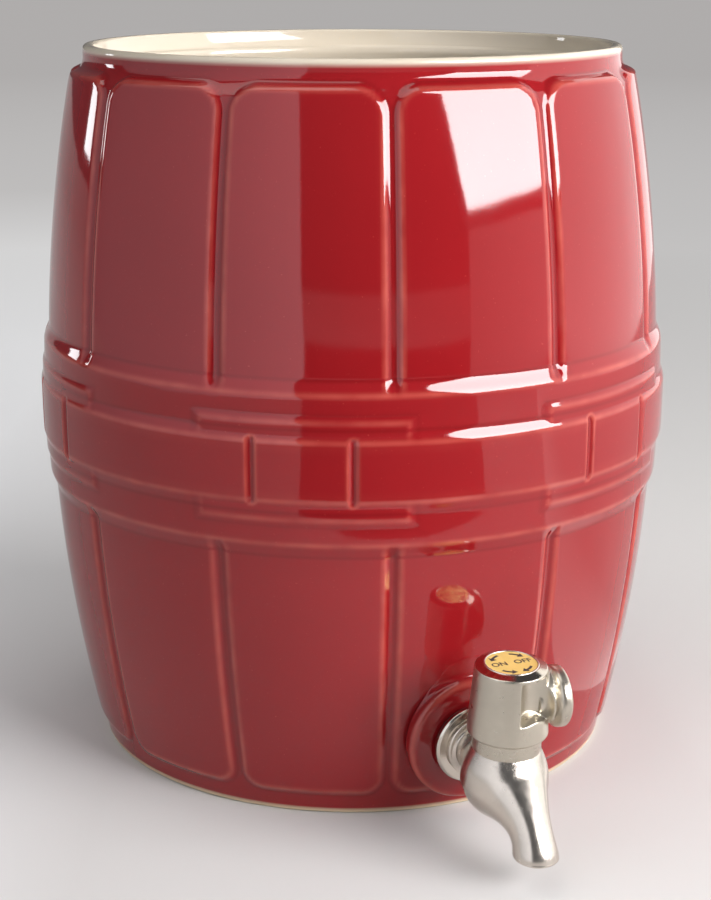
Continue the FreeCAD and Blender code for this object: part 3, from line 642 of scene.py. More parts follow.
def casting_points(tap):
    """Polished casting as rings square to its middle line, found from that line outwards.

    The middle line runs along the shank's axis to the bulb and then down the spout. The
    rings turn towards level over the last stretch, so that the outlet is cut level.
    """
    straight = spread((tap.shoulder + tap.shoulder_width, 1), (tap.stem_out, 0.36 * MM))
    shares = np.linspace(0, 1, 90)[1:]
    shares = shares[canal_centre(shares, tap)[1] > LIP_ROUND - tap.drop]
    bend_out, bend_up = canal_centre(shares, tap)
    ahead = canal_centre(shares + 0.001, tap)
    behind = canal_centre(shares - 0.001, tap)
    slope_out, slope_up = ahead[0] - behind[0], ahead[1] - behind[1]
    size = np.hypot(slope_out, slope_up)
    level = soft_step(shares - 0.55, 0.45)
    slope_out = slope_out / size * (1 - level)
    slope_up = slope_up / size * (1 - level) - level
    size = np.hypot(slope_out, slope_up)
    line = np.stack([np.concatenate([straight, bend_out]),
                     np.concatenate([0 * straight, bend_up])], axis=-1)
    heading = np.concatenate([np.tile([1.0, 0.0], (len(straight), 1)),
                              np.stack([slope_out / size, slope_up / size], axis=-1)])
    early = soft_step(line[:, 0] - tap.stem_out + 6 * MM, 12 * MM)[:, None]
    first = heading[len(straight)]
    heading[:len(straight)] = [1.0, 0.0] + (first - [1.0, 0.0]) * early[:len(straight)]
    heading /= np.linalg.norm(heading, axis=1)[:, None]
    turns = full_turn(144)
    lift = np.stack([-heading[:, 1], heading[:, 0]], axis=-1)
    aim = np.stack([
        np.broadcast_to(np.sin(turns), (len(line), len(turns))),
        lift[:, :1] * np.cos(turns), lift[:, 1:] * np.cos(turns)], axis=-1)
    start = np.concatenate([np.zeros((len(line), 1)), line], axis=1)
    start = np.broadcast_to(start[:, None, :], aim.shape)
    skin = find_along(lambda p: casting_distance(p, tap), start, aim, 24 * MM)
    return skin, start, aim


def casting_grid(tap):
    """The casting's skin with its shoulder behind and its rounded outlet and bore in front."""
    skin, start, aim = casting_points(tap)
    hub = skin[0] - start[0]
    unit = hub / np.linalg.norm(hub, axis=1)[:, None]

    def ring(out, radius):
        return np.stack([unit[:, 0] * radius, np.full(len(unit), out), unit[:, 2] * radius], -1)

    back, front = tap.shoulder, tap.shoulder + tap.shoulder_width
    wide = tap.shoulder_radius
    turns = np.linspace(0, math.pi / 2, 6)
    round_off = 0.8 * MM
    behind = [ring(back, 0.6 * wide), ring(back, wide - 0.2 * MM), ring(back + 0.2 * MM, wide)]
    behind += [ring(front - round_off * (1 - math.sin(t)), wide - round_off * (1 - math.cos(t)))
               for t in turns]
    rim = skin[-1] - start[-1]
    outward = rim / np.linalg.norm(rim, axis=1)[:, None]
    centre = np.array([0.0, tap.stem_out + tap.reach, 0.0])
    reach = np.linalg.norm(rim, axis=1)[:, None]
    down = np.array([0.0, 0.0, -1.0])
    soft, bore = LIP_ROUND, tap.spout_bore
    bottom = centre + down * tap.drop
    lip = [bottom + outward * (reach - soft * (1 - math.cos(t))) - down * soft * (1 - math.sin(t))
           for t in turns[1:]]
    inner = [bottom + outward * (bore + soft * (1 - math.sin(t))) - down * soft * (1 - math.cos(t))
             for t in turns]
    shares = np.arange(len(start) - 3, len(start) - 60, -4)
    inner += [start[i] + aim[i] * bore for i in shares]
    rows = np.concatenate([np.array(behind), skin, np.array(lip), np.array(inner)])
    return tap_point(rows[..., 0], rows[..., 1], rows[..., 2], tap), start, shares[-1]


def shank_grid(tap):
    """Threaded shank: its radius falls by a triangle wave of the turn plus the place along it."""
    turns = full_turn(72)
    along = np.arange(-tap.shank_end + 0.8 * MM, tap.shoulder + 0.1 * MM, tap.pitch / 8)
    phase = (along[:, None] / tap.pitch - turns / (2 * math.pi)) % 1.0
    depth = THREAD_DEPTH * np.abs(2 * phase - 1)
    depth[-8:] = depth[-8:] * np.linspace(1, 0, 8)[:, None]
    radius = tap.shank_radius - depth
    end = -tap.shank_end
    mouth = np.full((5, len(turns)), tap.shank_bore)
    mouth[1:3] = tap.shank_bore + 0.4 * MM
    mouth[3] = tap.shank_radius - 1.1 * MM
    mouth[4] = tap.shank_radius - 0.7 * MM
    places = np.array([end + 34 * MM, end + 0.4 * MM, end, end, end + 0.3 * MM])
    radii = np.concatenate([mouth, radius])
    outs = np.concatenate([places, along])[:, None]
    grid = shank_rings(radii, outs, turns, tap)
    return grid, tap_point(0.0, end + 34 * MM, 0.0, tap), tap_point(0.0, tap.shoulder, 0.0, tap)


def machined_copy(node, name, bevel):
    """A welded copy of a CAD node with its flat faces joined and its edges broken."""
    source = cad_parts[node]
    mesh = source.data.copy()
    mesh.name = name
    mesh.materials.clear()
    work = bmesh.new()
    work.from_mesh(mesh)
    bmesh.ops.remove_doubles(work, verts=work.verts, dist=0.002 * MM)
    bmesh.ops.dissolve_limit(work, angle_limit=math.radians(0.4), verts=work.verts,
                             edges=work.edges)
    work.to_mesh(mesh)
    work.free()
    for layer in [a for a in mesh.attributes if a.name == "custom_normal"]:
        mesh.attributes.remove(layer)
    piece = place_object(name, mesh)
    mesh.shade_smooth()
    if bevel:
        soften = piece.modifiers.new("edges", "BEVEL")
        soften.width = bevel
        soften.segments = 3
        soften.limit_method = "ANGLE"
        soften.angle_limit = math.radians(28)
        soften.harden_normals = True
        soften.use_clamp_overlap = True
    mesh.set_sharp_from_angle(angle=math.radians(32))
    return piece


def cut_with(piece, tool, operation="DIFFERENCE"):
    """Cut a piece with a closed tool, or add the tool to it, and remove the tool."""
    set_outward(tool)
    cut = piece.modifiers.new("cut", "BOOLEAN")
    cut.operation = operation
    cut.object = tool
    cut.solver = "EXACT"
    bake_modifiers(piece)
    bpy.data.objects.remove(tool)


def stem_ring(radii, heights, tap, columns=96):
    """Rings about the stem's axis, one for each radius and height above the shank's axis."""
    turns = full_turn(columns)
    radii, heights = np.array(radii)[:, None], np.array(heights)[:, None]
    return tap_point(radii * np.sin(turns), tap.stem_out + radii * np.cos(turns), heights, tap)


def solid_cap(piece, tap):
    """Fill the cap round its core, sink the two finger scoops again and shape the knob.

    The fill is a ring under the cap's tapering skin. Each scoop is an upright cylinder
    whose floor climbs towards the stem by half of the way inwards from the skin.
    """
    slope = (tap.cap_foot - tap.cap_brow) / (tap.cap_top - tap.cap_base)
    low, high, inner = CAP_LOW, CAP_HIGH, CAP_CORE

    def skin(height):
        return tap.cap_foot - slope * (height - tap.cap_base) - SKIN_GAP

    cut_disc(piece, tap)
    fill = stem_ring([inner, skin(low), skin(high), inner], [low, low, high, high], tap)
    ring = mesh_piece("cap_fill", fill.reshape(-1, 3), grid_faces(4, fill.shape[1], ring=True))
    cut_with(piece, ring, "UNION")
    lean, turns = tap.lever_turn, full_turn(64)
    for side in (-1, 1):
        along, across = tap.scoop_out, side * tap.scoop_side
        x = along * math.cos(lean) + across * math.sin(lean) + tap.scoop_radius * np.sin(turns)
        out = along * math.sin(lean) - across * math.cos(lean) + tap.scoop_radius * np.cos(turns)
        reach = np.hypot(x, out)
        floor = tap.scoop_floor + 0.5 * np.clip(skin(tap.scoop_floor) - reach, 0, 1)
        rings = np.stack([tap_point(x, tap.stem_out + out, height, tap)
                          for height in (floor, CAP_HIGH + 0 * floor)])
        ends = [rings[0].mean(axis=0), rings[1].mean(axis=0)]
        cut_with(piece, closed_tube("scoop_tool", rings, *ends))
    shape_knob(piece, tap)


def shape_knob(piece, tap):
    """Add the knob's flared back and domed face.

    The knob is turned about its own axis, which points less far outwards than the lever.
    Its outline is a list of (distance from its middle, radius), from the arm to the face.
    """
    outline = np.array([
        (-9.0, 6.3), (-6.0, 6.6), (-4.6, 7.6), (-3.6, 8.9), (-2.9, 9.9), (-2.3, 10.8),
        (-1.7, 11.3), (-0.9, 11.5), (0.9, 11.5), (1.5, 11.3), (2.0, 10.6), (2.45, 8.6),
        (2.75, 5.5), (2.9, 2.5)]) * MM
    turns = full_turn(72)
    lean, face = tap.lever_turn, tap.knob_turn
    middle = tap.knob_middle

    def place(ahead, across, up):
        x = middle * math.cos(lean) + ahead * math.cos(face) - across * math.sin(face)
        out = middle * math.sin(lean) + ahead * math.sin(face) + across * math.cos(face)
        return tap_point(x, tap.stem_out + out, tap.knob_height + up, tap)

    ahead, radius = outline[:, :1] + 0 * turns, outline[:, 1:]
    rings = place(ahead, radius * np.sin(turns), radius * np.cos(turns))
    ends = [place(step, 0.0, 0.0) for step in (outline[0, 0], outline[-1, 0] + 0.04 * MM)]
    cut_with(piece, closed_tube("knob_tool", rings, *ends), "UNION")


def cut_disc(piece, tap):
    """Take the lever's plain disc off, with a box across the lever."""
    across, up = np.array([(-14, 14, 14, -14), (19, 19, 46, 46)]) * MM
    lean, ends = tap.lever_turn, (DISC_NEAR, DISC_FAR)
    rings = np.stack([arm_point(along, across, up, lean, tap) for along in ends])
    poles = [arm_point(along, 0.0, tap.knob_height, lean, tap) for along in ends]
    cut_with(piece, closed_tube("disc_tool", rings, *poles))


def cast_copy(node, name, voxel, passes, shape=None):
    """A copy of a CAD node with the soft edges of a casting: rebuilt in small cells, smoothed."""
    piece = machined_copy(node, name, 0)
    if shape:
        shape(piece)
    rebuild = piece.modifiers.new("cells", "REMESH")
    rebuild.mode = "VOXEL"
    rebuild.voxel_size = voxel
    soften = piece.modifiers.new("soften", "SMOOTH")
    soften.factor = 0.5
    soften.iterations = passes
    bake_modifiers(piece)
    piece.data.shade_smooth()
    return piece


class Shader:
    """A small helper that adds nodes to a new material."""

    def __init__(self, name):
        self.material = bpy.data.materials.new(name)
        self.material.use_nodes = True
        self.tree = self.material.node_tree
        self.surface = self.tree.nodes["Principled BSDF"]
        self.output = self.tree.nodes["Material Output"]

    def feed(self, node, sockets):
        """Set a node's inputs by name or number: an output is linked, a value is stored."""
        for key, value in sockets.items():
            socket = node.inputs[key]
            if isinstance(value, bpy.types.NodeSocket):
                self.tree.links.new(value, socket)
            else:
                socket.default_value = (*value, 1.0) if socket.type == "RGBA" else value

    def add(self, kind, sockets=None, **settings):
        """Add a node with these settings, and feed its inputs."""
        node = self.tree.nodes.new(kind)
        for key, value in settings.items():
            setattr(node, key, value)
        self.feed(node, sockets or {})
        return node

    def noise(self, scale, detail=2.0, roughness=0.5):
        """A noise on object coordinates."""
        return self.add("ShaderNodeTexNoise", {
            "Vector": self.add("ShaderNodeTexCoord").outputs["Object"], "Scale": scale,
            "Detail": detail, "Roughness": roughness}).outputs["Fac"]

    def attribute(self, name):
        """A number stored on the mesh."""
        return self.add("ShaderNodeAttribute", attribute_name=name).outputs["Fac"]

    def ramp(self, source, low, high, first=0.0, last=1.0):
        """Map a range of one number to another, held at both ends."""
        return self.add("ShaderNodeMapRange", {
            "Value": source, "From Min": low, "From Max": high,
            "To Min": first, "To Max": last}).outputs["Result"]

    def math(self, operation, first, second):
        """Combine two numbers by a named operation."""
        return self.add("ShaderNodeMath", {0: first, 1: second}, operation=operation).outputs[0]

    def mix(self, share, first, second):
        """Mix of two colours, each a value or an output."""
        return self.add("ShaderNodeMix", {"Factor": share, 6: first, 7: second},
                        data_type="RGBA").outputs[2]

    def bump(self, height, distance, strength, after=None):
        """Bump the surface by a height of this distance, on top of another bump."""
        sockets = {"Height": height, "Distance": distance, "Strength": strength}
        if after is not None:
            sockets["Normal"] = after
        normal = self.add("ShaderNodeBump", sockets).outputs["Normal"]
        self.feed(self.surface, {"Normal": normal})
        return normal


def glaze_material(colours):
    """Red glaze that breaks pale over brows, cream lip and inside, bare clay at the foot."""
    glaze = Shader("barrel_glaze")
    brow, bare = glaze.attribute("brow"), glaze.attribute("bare")
    cloud = glaze.ramp(glaze.noise(9), 0.3, 0.75, 0.0, 0.35)
    grain = glaze.ramp(glaze.noise(900, 2.0, 0.6), 0.70, 0.78, 0.0, 0.30)
    pool = glaze.ramp(brow, 0.0, -1.0, 0.0, 0.8)
    uneven = glaze.ramp(glaze.noise(70), 0.3, 0.7, 0.25, 0.62)
    thin = glaze.math("MULTIPLY", glaze.ramp(brow, 0.0, 1.0), uneven)
    red = colours.glaze
    for share, colour in ((cloud, colours.glaze_deep), (grain, colours.glaze_thin),
                          (pool, colours.glaze_deep), (thin, colours.glaze_thin)):
        red = glaze.mix(share, red, colour)
    speck = glaze.ramp(glaze.noise(900, 1.0), 0.66, 0.74, 0.0, 0.35)
    cream = glaze.mix(speck, colours.cream, colours.bare)
    skin = glaze.mix(glaze.attribute("cream"), red, cream)
    glaze.feed(glaze.surface, {
        "Base Color": glaze.mix(bare, skin, colours.bare),
        "Roughness": glaze.ramp(bare, 0, 1, 0.055, 0.75), "IOR": 1.52})
    waves = glaze.bump(glaze.noise(26, 1.5), 0.35 * MM, 0.55)
    glaze.bump(glaze.noise(1100, 1.0), 0.006 * MM, 0.6, after=waves)
    return glaze.material


def metal_material(name, colour, roughness, grain=0.0, scale=300, dents=0.0, metallic=1.0,
                   polish=None):
    """Metal with an uneven finish: fine grain, slight waviness and cloudy roughness."""
    metal = Shader(name)
    cloud = metal.ramp(metal.noise(60, 3.0, 0.6), 0.3, 0.75)
    darker = tuple(0.86 * value for value in colour)
    rough = metal.ramp(metal.noise(scale, 4.0, 0.7), 0.3, 0.7, 0.82 * roughness, 1.2 * roughness)
    if polish:
        share = metal.ramp(metal.attribute(polish), 0, 1, 1.0, 0.35)
        rough = metal.math("MULTIPLY", rough, share)
    metal.feed(metal.surface, {"Base Color": metal.mix(cloud, darker, colour),
                               "Roughness": rough, "Metallic": metallic})
    normal = None
    if dents:
        normal = metal.bump(metal.noise(90, 1.0), dents, 0.6)
    if grain:
        metal.bump(metal.noise(4 * scale), grain, 0.5, after=normal)
    return metal.material


def plain_material(name, colour, roughness, grain, scale=500):
    """Rubber, plastic or ink with a mottled colour and a fine grain."""
    plain = Shader(name)
    pale = tuple(min(1.0, 1.35 * value + 0.004) for value in colour)
    mottle = plain.ramp(plain.noise(scale / 4), 0.35, 0.7)
    plain.feed(plain.surface, {"Base Color": plain.mix(mottle, colour, pale),
                               "Roughness": roughness})
    plain.bump(plain.noise(scale), grain, 0.5)
    return plain.material


def glow_material(name, colour):
    """Light whose strength is stored at the corners of a panel."""
    glow = Shader(f"{name}_glow")
    light = glow.add("ShaderNodeEmission", {"Color": colour, "Strength": glow.attribute("shine")})
    glow.feed(glow.output, {"Surface": light.outputs[0]})
    return glow.material


class WATERPOT_OT_barrel(bpy.types.Operator):
    """Build the glazed stoneware barrel with its boss."""

    bl_idname = "waterpot.barrel"
    bl_label = "Glazed barrel"

    def execute(self, context):
        sizes, tap = context.scene.pot_barrel, context.scene.pot_tap
        angles = barrel_angles(sizes)
        heights = barrel_heights(sizes)
        radii, brow = barrel_surface(angles[None, :], heights[:, None], sizes)
        foot = float(wall_radius(FOOT_ROUND, sizes))
        under = revolve(angles, np.array([[0.5 * foot], [foot - 3 * MM], [foot - 1.4 * MM],
                                          [foot - 0.5 * MM]]),
                        np.array([0, 0, 0, 0.45 * MM]))
        inner = inner_outline(sizes)
        inside = revolve(angles, inner[:, :1], inner[:, 1])
        grid = np.concatenate([under, revolve(angles, radii, heights), inside])
        barrel = closed_tube("glazed_barrel", grid, (0, 0, 0), (0, 0, sizes.floor))
        columns = len(angles)
        climb = np.concatenate([np.zeros(4), heights, np.full(len(inner), sizes.height)])
        cream = soft_step(climb - (sizes.height - 3.4 * MM), 2.2 * MM)
        bare = 1 - soft_step(climb - 1.3 * MM, 1.5 * MM)
        brows = np.concatenate([np.zeros((4, columns)), brow, np.zeros((len(inner), columns))])
        point_values(barrel, "cream", np.concatenate([np.repeat(cream, columns), [0, 1]]))
        point_values(barrel, "bare", np.concatenate([np.repeat(bare, columns), [1, 0]]))
        point_values(barrel, "brow", np.concatenate([brows.ravel(), [0, 0]]))
        cut_seat(barrel, tap)
        boss = self.boss(sizes, tap)
        join(barrel, boss)
        wear(barrel, glaze_material(context.scene.pot_finish), "pot", "pot_body", slot="glaze")
        return {"FINISHED"}

    def boss(self, sizes, tap):
        """The boss as a closed ring, sunk into the barrel all round."""
        grid = boss_points(sizes, tap)
        rows, columns = grid.shape[:2]
        boss = mesh_piece("boss", grid.reshape(-1, 3),
                          grid_faces(rows, columns, ring=True, flip=True))
        x, out, up = tap_coordinates(grid, tap)
        # Paler thin glaze painted along the boss's rounded edge; it also stands in for the
        # highlight along that edge, so it is partly painted highlight.
        edge = np.exp(-(((np.hypot(x, up) - tap.boss_radius + 0.9 * MM) / (1.2 * MM)) ** 2
                        + ((out + 0.9 * MM) / (1.5 * MM)) ** 2))
        point_values(boss, "brow", 0.9 * edge)
        for name in ("cream", "bare"):
            point_values(boss, name, np.zeros(rows * columns))
        return boss


def join(piece, other):
    """Add another piece's mesh to this one."""
    with bpy.context.temp_override(active_object=piece, object=piece,
                                   selected_editable_objects=[piece, other]):
        bpy.ops.object.join()


class WATERPOT_OT_casting(bpy.types.Operator):
    """Build the polished tap casting and its threaded shank."""

    bl_idname = "waterpot.casting"
    bl_label = "Tap casting"

    def execute(self, context):
        tap, colours = context.scene.pot_tap, context.scene.pot_finish
        grid, start, last = casting_grid(tap)
        first = tap_point(0.0, tap.shoulder, 0.0, tap)
        end = start[last, 0]
        pole = tap_point(0.0, end[1], end[2], tap)
        casting = closed_tube("tap_casting", grid, first, pole)
        set_outward(casting)
        polished = metal_material("polished_nickel", colours.polished, 0.24, dents=0.05 * MM)
        wear(casting, polished, "pot", "tap_body", slot="polished_nickel")
        shank = closed_tube("tap_shank", *shank_grid(tap))
        set_outward(shank)
        wear(shank, polished, "pot", "tap_body", slot="polished_nickel")
        return {"FINISHED"}


class WATERPOT_OT_handle(bpy.types.Operator):
    """Build the satin handle, the ring under it and the flange at the wall."""

    bl_idname = "waterpot.handle"
    bl_label = "Handle and rings"

    def execute(self, context):
        colours = context.scene.pot_finish
        satin = metal_material("satin_nickel", colours.nickel, 0.30, grain=0.0004 * MM, scale=900)
        bright = metal_material("cap_nickel", colours.nickel, 0.32, polish="polish")
        polished = metal_material("ring_nickel", colours.polished, 0.16)
        tap = context.scene.pot_tap
        handle = cast_copy("handle", "handle_casting", 0.3 * MM, 3,
                           lambda piece: solid_cap(piece, tap))
        up = tap_coordinates(mesh_points(handle.data), tap)[2]
        point_values(handle, "polish", soft_step(up - tap.cap_top + 0.2 * MM, 0.5 * MM))
        wear(handle, bright, "handle", "handle", slot="satin_nickel")
        for node, name, finish in (("bonnet_nut", "bonnet_ring", satin),
                                   ("wall_flange", "wall_ring", polished)):
            wear(machined_copy(node, name, 0.3 * MM), finish, "pot", node, slot="satin_nickel")
        return {"FINISHED"}


class WATERPOT_OT_label(bpy.types.Operator):
    """Print the label on top of the handle: two generic words and four turning arrows."""

    bl_idname = "waterpot.label"
    bl_label = "Handle label"

    def execute(self, context):
        tap, colours = context.scene.pot_tap, context.scene.pot_finish
        gold = metal_material("label_gold", colours.gold, 0.34, grain=0.002 * MM, metallic=0.45)
        disc = machined_copy("label_disc", "label_plate", 0.1 * MM)
        wear(disc, gold, "handle", "label_disc", slot="label")
        bright = metal_material("label_rim_nickel", colours.polished, 0.2)
        around = full_turn(12)
        wire = 0.38 * MM
        rim = stem_ring(tap.label_radius + 0.3 * MM + wire * np.cos(around),
                        tap.label_top - 0.1 * MM + wire * np.sin(around), tap)
        rim = mesh_piece("label_rim", rim.reshape(-1, 3), grid_faces(12, rim.shape[1], ring=True))
        set_outward(rim)
        wear(rim, bright, "handle", slot="satin_nickel")
        ink = plain_material("label_ink", colours.ink, 0.45, 0.002 * MM, 3000)
        for name, word, x in (("label_on", "ON", -4.7), ("label_off", "OFF", 4.6)):
            wear(self.word(name, word, x * MM, 0.2 * MM, tap), ink, "handle", slot="label")
        for number, (middle, way) in enumerate(((125, 1), (235, 1), (55, -1), (305, -1))):
            arrow = self.arrow(f"label_arrow_{number + 1}", middle, way, tap)
            wear(arrow, ink, "handle", slot="label")
        return {"FINISHED"}

    def word(self, name, text, x, y, tap):
        """A word as a thin mesh on the label."""
        curve = bpy.data.curves.new(name, "FONT")
        curve.body = text
        curve.size = 3.9 * MM
        curve.offset = 0.06 * MM
        curve.align_x = "CENTER"
        curve.align_y = "CENTER"
        curve.extrude = 0.02 * MM
        holder = place_object(name, curve)
        mesh = evaluated_mesh(holder)
        mesh.name = name
        bpy.data.objects.remove(holder)
        flat = mesh_points(mesh)
        placed = tap_point(flat[:, 0] + x, tap.stem_out - flat[:, 1] - y,
                           tap.label_top + 0.02 * MM + flat[:, 2], tap)
        mesh.vertices.foreach_set("co", placed.astype(np.float32).ravel())
        mesh.update()
        return place_object(name, mesh)

    def arrow(self, name, middle, way, tap):
        """A curved arrow: a flat ring sector with a pointed head at its leading end."""
        radius, half = 7.3 * MM, 0.5 * MM
        sweep = np.radians(np.linspace(middle - 17 * way, middle + 11 * way, 12))
        tip = math.radians(middle + 27 * way)
        last = sweep[-1]
        outline = [(radius + half, a) for a in sweep] + [(radius + 3.2 * half, last), (radius, tip),
                                                        (radius - 3.2 * half, last)]
        outline += [(radius - half, a) for a in sweep[::-1]]
        spokes = np.array(outline)
        across, away = spokes[:, 0] * np.cos(spokes[:, 1]), spokes[:, 0] * np.sin(spokes[:, 1])
        rings = np.stack([tap_point(across, tap.stem_out - away, tap.label_top + rise, tap)
                          for rise in (0.0, 0.04 * MM)])
        count = len(outline)
        index = np.arange(count)
        faces = [list(index + count), list(index[::-1])]
        faces += [list(face) for face in grid_faces(2, count)]
        mesh = bpy.data.meshes.new(name)
        mesh.from_pydata(rings.reshape(-1, 3).tolist(), [], faces)
        piece = place_object(name, mesh)
        set_outward(piece)
        return piece


class WATERPOT_OT_fittings(bpy.types.Operator):
    """Give the inner fittings their finishes: nut, washers, gaskets, plug and screw."""

    bl_idname = "waterpot.fittings"
    bl_label = "Inner fittings"

    def execute(self, context):
        colours = context.scene.pot_finish
        rubber = plain_material("gasket_rubber", colours.rubber, 0.62, 0.02 * MM, 700)
        brass = metal_material("turned_brass", colours.brass, 0.28, grain=0.004 * MM)
        steel = metal_material("plain_steel", (0.55, 0.55, 0.55), 0.32, grain=0.004 * MM)
        slip = plain_material("slip_plastic", (0.74, 0.74, 0.70), 0.5, 0.01 * MM)
        for node, name, material, slot, bevel in (
                ("lock_nut", "lock_nut_piece", brass, "brass", 0.3 * MM),
                ("backing_washer", "backing_washer_piece", steel, "steel", 0.2 * MM),
                ("inner_gasket", "inner_gasket_piece", rubber, "rubber", 0.4 * MM),
                ("outer_gasket", "outer_gasket_piece", rubber, "rubber", 0.3 * MM)):
            wear(machined_copy(node, name, bevel), material, "pot", node, slot=slot)
        for node, material in (("valve_plug", brass), ("thrust_washer", slip),
                               ("lower_o_ring", rubber), ("upper_o_ring", rubber),
                               ("handle_screw", steel)):
            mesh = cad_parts[node].data
            mesh.materials.clear()
            mesh.materials.append(material)
        return {"FINISHED"}


# Panels of light round the pot. Each has the azimuth and elevation of its four corners in
# degrees, how strongly it shines at each corner, and its colour.
PANELS = (
    ("softbox", ((19, 7.8), (56, 7.2), (57, 30), (4, 30)), (21, 18, 14.5, 17), (1, 0.985, 1)),
    ("left_panel", ((-128, -6.8), (-38, -6.8), (-44, 35), (-128, 35)), (0.4, 1.5, 1.5, 0.4),
     (0.95, 0.96, 1.02)),
    ("left_window", ((-143, 4), (-136, 4), (-136, 12), (-141, 12)), (8, 8, 8, 8),
     (0.95, 0.97, 1)),
    ("right_panel", ((53, -6.8), (132, -6.8), (132, 35), (53, 35)), (1.7, 1.7, 1.7, 1.7),
     (1, 0.98, 0.97)),
    ("low_panel", ((19, -6.8), (52.8, -6.8), (52.8, 5.5), (19, 6)), (0.7, 1.2, 1.2, 0.7),
     (1, 0.98, 0.97)),
)


class WATERPOT_OT_studio(bpy.types.Operator):
    """Set up the floor, the lamps, the world and the camera."""

    bl_idname = "waterpot.studio"
    bl_label = "Studio"

    def execute(self, context):
        studio = context.scene.pot_studio
        self.floor(studio)
        self.world(studio)
        for name, corners, shine, colour in PANELS:
            points = [self.aim(azimuth, elevation, PANEL_REACH) for azimuth, elevation in corners]
            self.card(name, points, glow_material(name, colour), shine)
        self.lamp("overhead", (-0.6, 0.1, 2.0), (1.6, 1.6), 14, (1.0, 0.99, 0.97))
        felt = plain_material("flag_felt", (0.03, 0.028, 0.027), 0.9, MM, 200)
        self.floor_card("flag", studio.flag_reach, 2.4, (-38, 20), felt)
        self.floor_card("right_card", 0.16, 1.35, (42, 100),
                        glow_material("right_card", (1, 0.97, 0.95)), (1.8, 0.7, 0.7, 1.8))
        self.camera(context, studio)
        context.scene.view_settings.view_transform = "Standard"
        return {"FINISHED"}

    def lamp(self, name, place, size, power, colour):
        """A flat lamp that faces the pot and doesn't show itself to the camera."""
        light = bpy.data.lights.new(name, "AREA")
        light.shape = "RECTANGLE"
        light.size, light.size_y = size
        light.energy = power
        light.color = colour
        lamp = place_object(name, light)
        lamp.location = place
        ahead = Vector((0, 0, LAMP_AIM)) - Vector(place)
        lamp.rotation_euler = ahead.to_track_quat("-Z", "Y").to_euler()
        lamp.visible_camera = False

    def aim(self, azimuth, elevation, reach):
        """A point at this reach from the pot's middle. Azimuth 0 is in front, +X is at 90."""
        turn, rise = math.radians(azimuth), math.radians(elevation)
        return (reach * math.sin(turn), -reach * math.cos(turn),
                POT_MIDDLE + reach * math.tan(rise))

    def card(self, name, points, material, shine=()):
        """A flat card between four corners, which the camera doesn't see."""
        card = mesh_piece(f"studio_{name}", np.array(points), np.array([[0, 1, 2, 3]]))
        if shine:
            point_values(card, "shine", shine)
        card.data.materials.append(material)
        card.visible_camera = card.visible_shadow = False
        return card

    def floor_card(self, name, near, far, azimuths, material, shine=()):
        """A card on the floor that only reflections show, between two azimuths."""
        first, last = azimuths
        points = np.array([self.aim(azimuth, 0, reach) for azimuth, reach in (
            (first, far), (last, far), (last, near), (first, near))])
        points[:, 2] = 1 * MM
        card = self.card(name, points, material, shine)
        card.visible_diffuse = card.visible_transmission = False

    def floor(self, studio):
        """A round floor whose colour runs from pale near the pot to grey far away, a painted
        falloff of the light with distance.
        """
        turns = full_turn(96)
        reaches = np.array([0.02, 0.3, 0.8, 2.0, 6.0, 20.0, 60.0])
        grid = revolve(turns, reaches[:, None], np.zeros(len(reaches)))
        vertices = np.concatenate([grid.reshape(-1, 3), [(0, 0, 0)]])
        floor = mesh_piece("studio_floor", vertices, grid_faces(len(reaches), 96, flip=True),
                           fan_faces(np.arange(96), len(vertices) - 1, flip=True))
        floor.data.materials.append(self.floor_material(studio))

    def floor_material(self, studio):
        """Matt paper that keeps the pot's shadow, its colour painted darker into an even grey
        further out as a painted falloff of light.

        Seen by the camera, it is painted paler to the left of the pot, a painted light that lifts
        the pot's shadow there.
        with its own colour, which evens out the light on it.
        """
        paper = Shader("studio_paper")
        place = paper.add("ShaderNodeTexCoord").outputs["Object"]
        reach = paper.add("ShaderNodeVectorMath", {0: place}, operation="LENGTH").outputs["Value"]
        path = paper.add("ShaderNodeLightPath")
        sideways = (math.cos(studio.camera_turn), math.sin(studio.camera_turn), 0)
        aside = paper.add("ShaderNodeVectorMath", {0: place, 1: sideways},
                          operation="DOT_PRODUCT").outputs["Value"]
        # Painted light: to the camera the floor left of the pot is made paler, lifting the pot's
        # shadow there.
        left = paper.math("MULTIPLY", paper.ramp(aside, -0.10, -0.24),
                          path.outputs["Is Camera Ray"])
        left = paper.math("MULTIPLY", left, paper.ramp(reach, 0.8, 1.8, 1.0, 0.0))
        near = paper.mix(left, studio.near_pale, studio.painted_shadow_lift)
        middle = paper.mix(left, studio.mid_grey, studio.painted_shadow_lift)
        # Painted falloff: the floor's colour greys with distance, standing in for light that dims
        # further out.
        far = paper.mix(paper.ramp(reach, 1.0, 4.0), middle, studio.far_grey)
        tone = paper.mix(paper.ramp(reach, 0.25, 1.5), near, far)
        paper.feed(paper.surface, {"Base Color": tone, "Roughness": 0.9,
                                   "Specular IOR Level": 0.1})
        glow = paper.add("ShaderNodeEmission", {"Color": tone})
        seen = paper.math("MAXIMUM", path.outputs["Is Camera Ray"],
                          path.outputs["Is Glossy Ray"])
        share = paper.math("MULTIPLY", paper.ramp(reach, 0.3, 1.3), seen)
        blend = paper.add("ShaderNodeMixShader", {
            0: share, 1: paper.surface.outputs[0], 2: glow.outputs[0]})
        paper.feed(paper.output, {"Surface": blend.outputs[0]})
        return paper.material

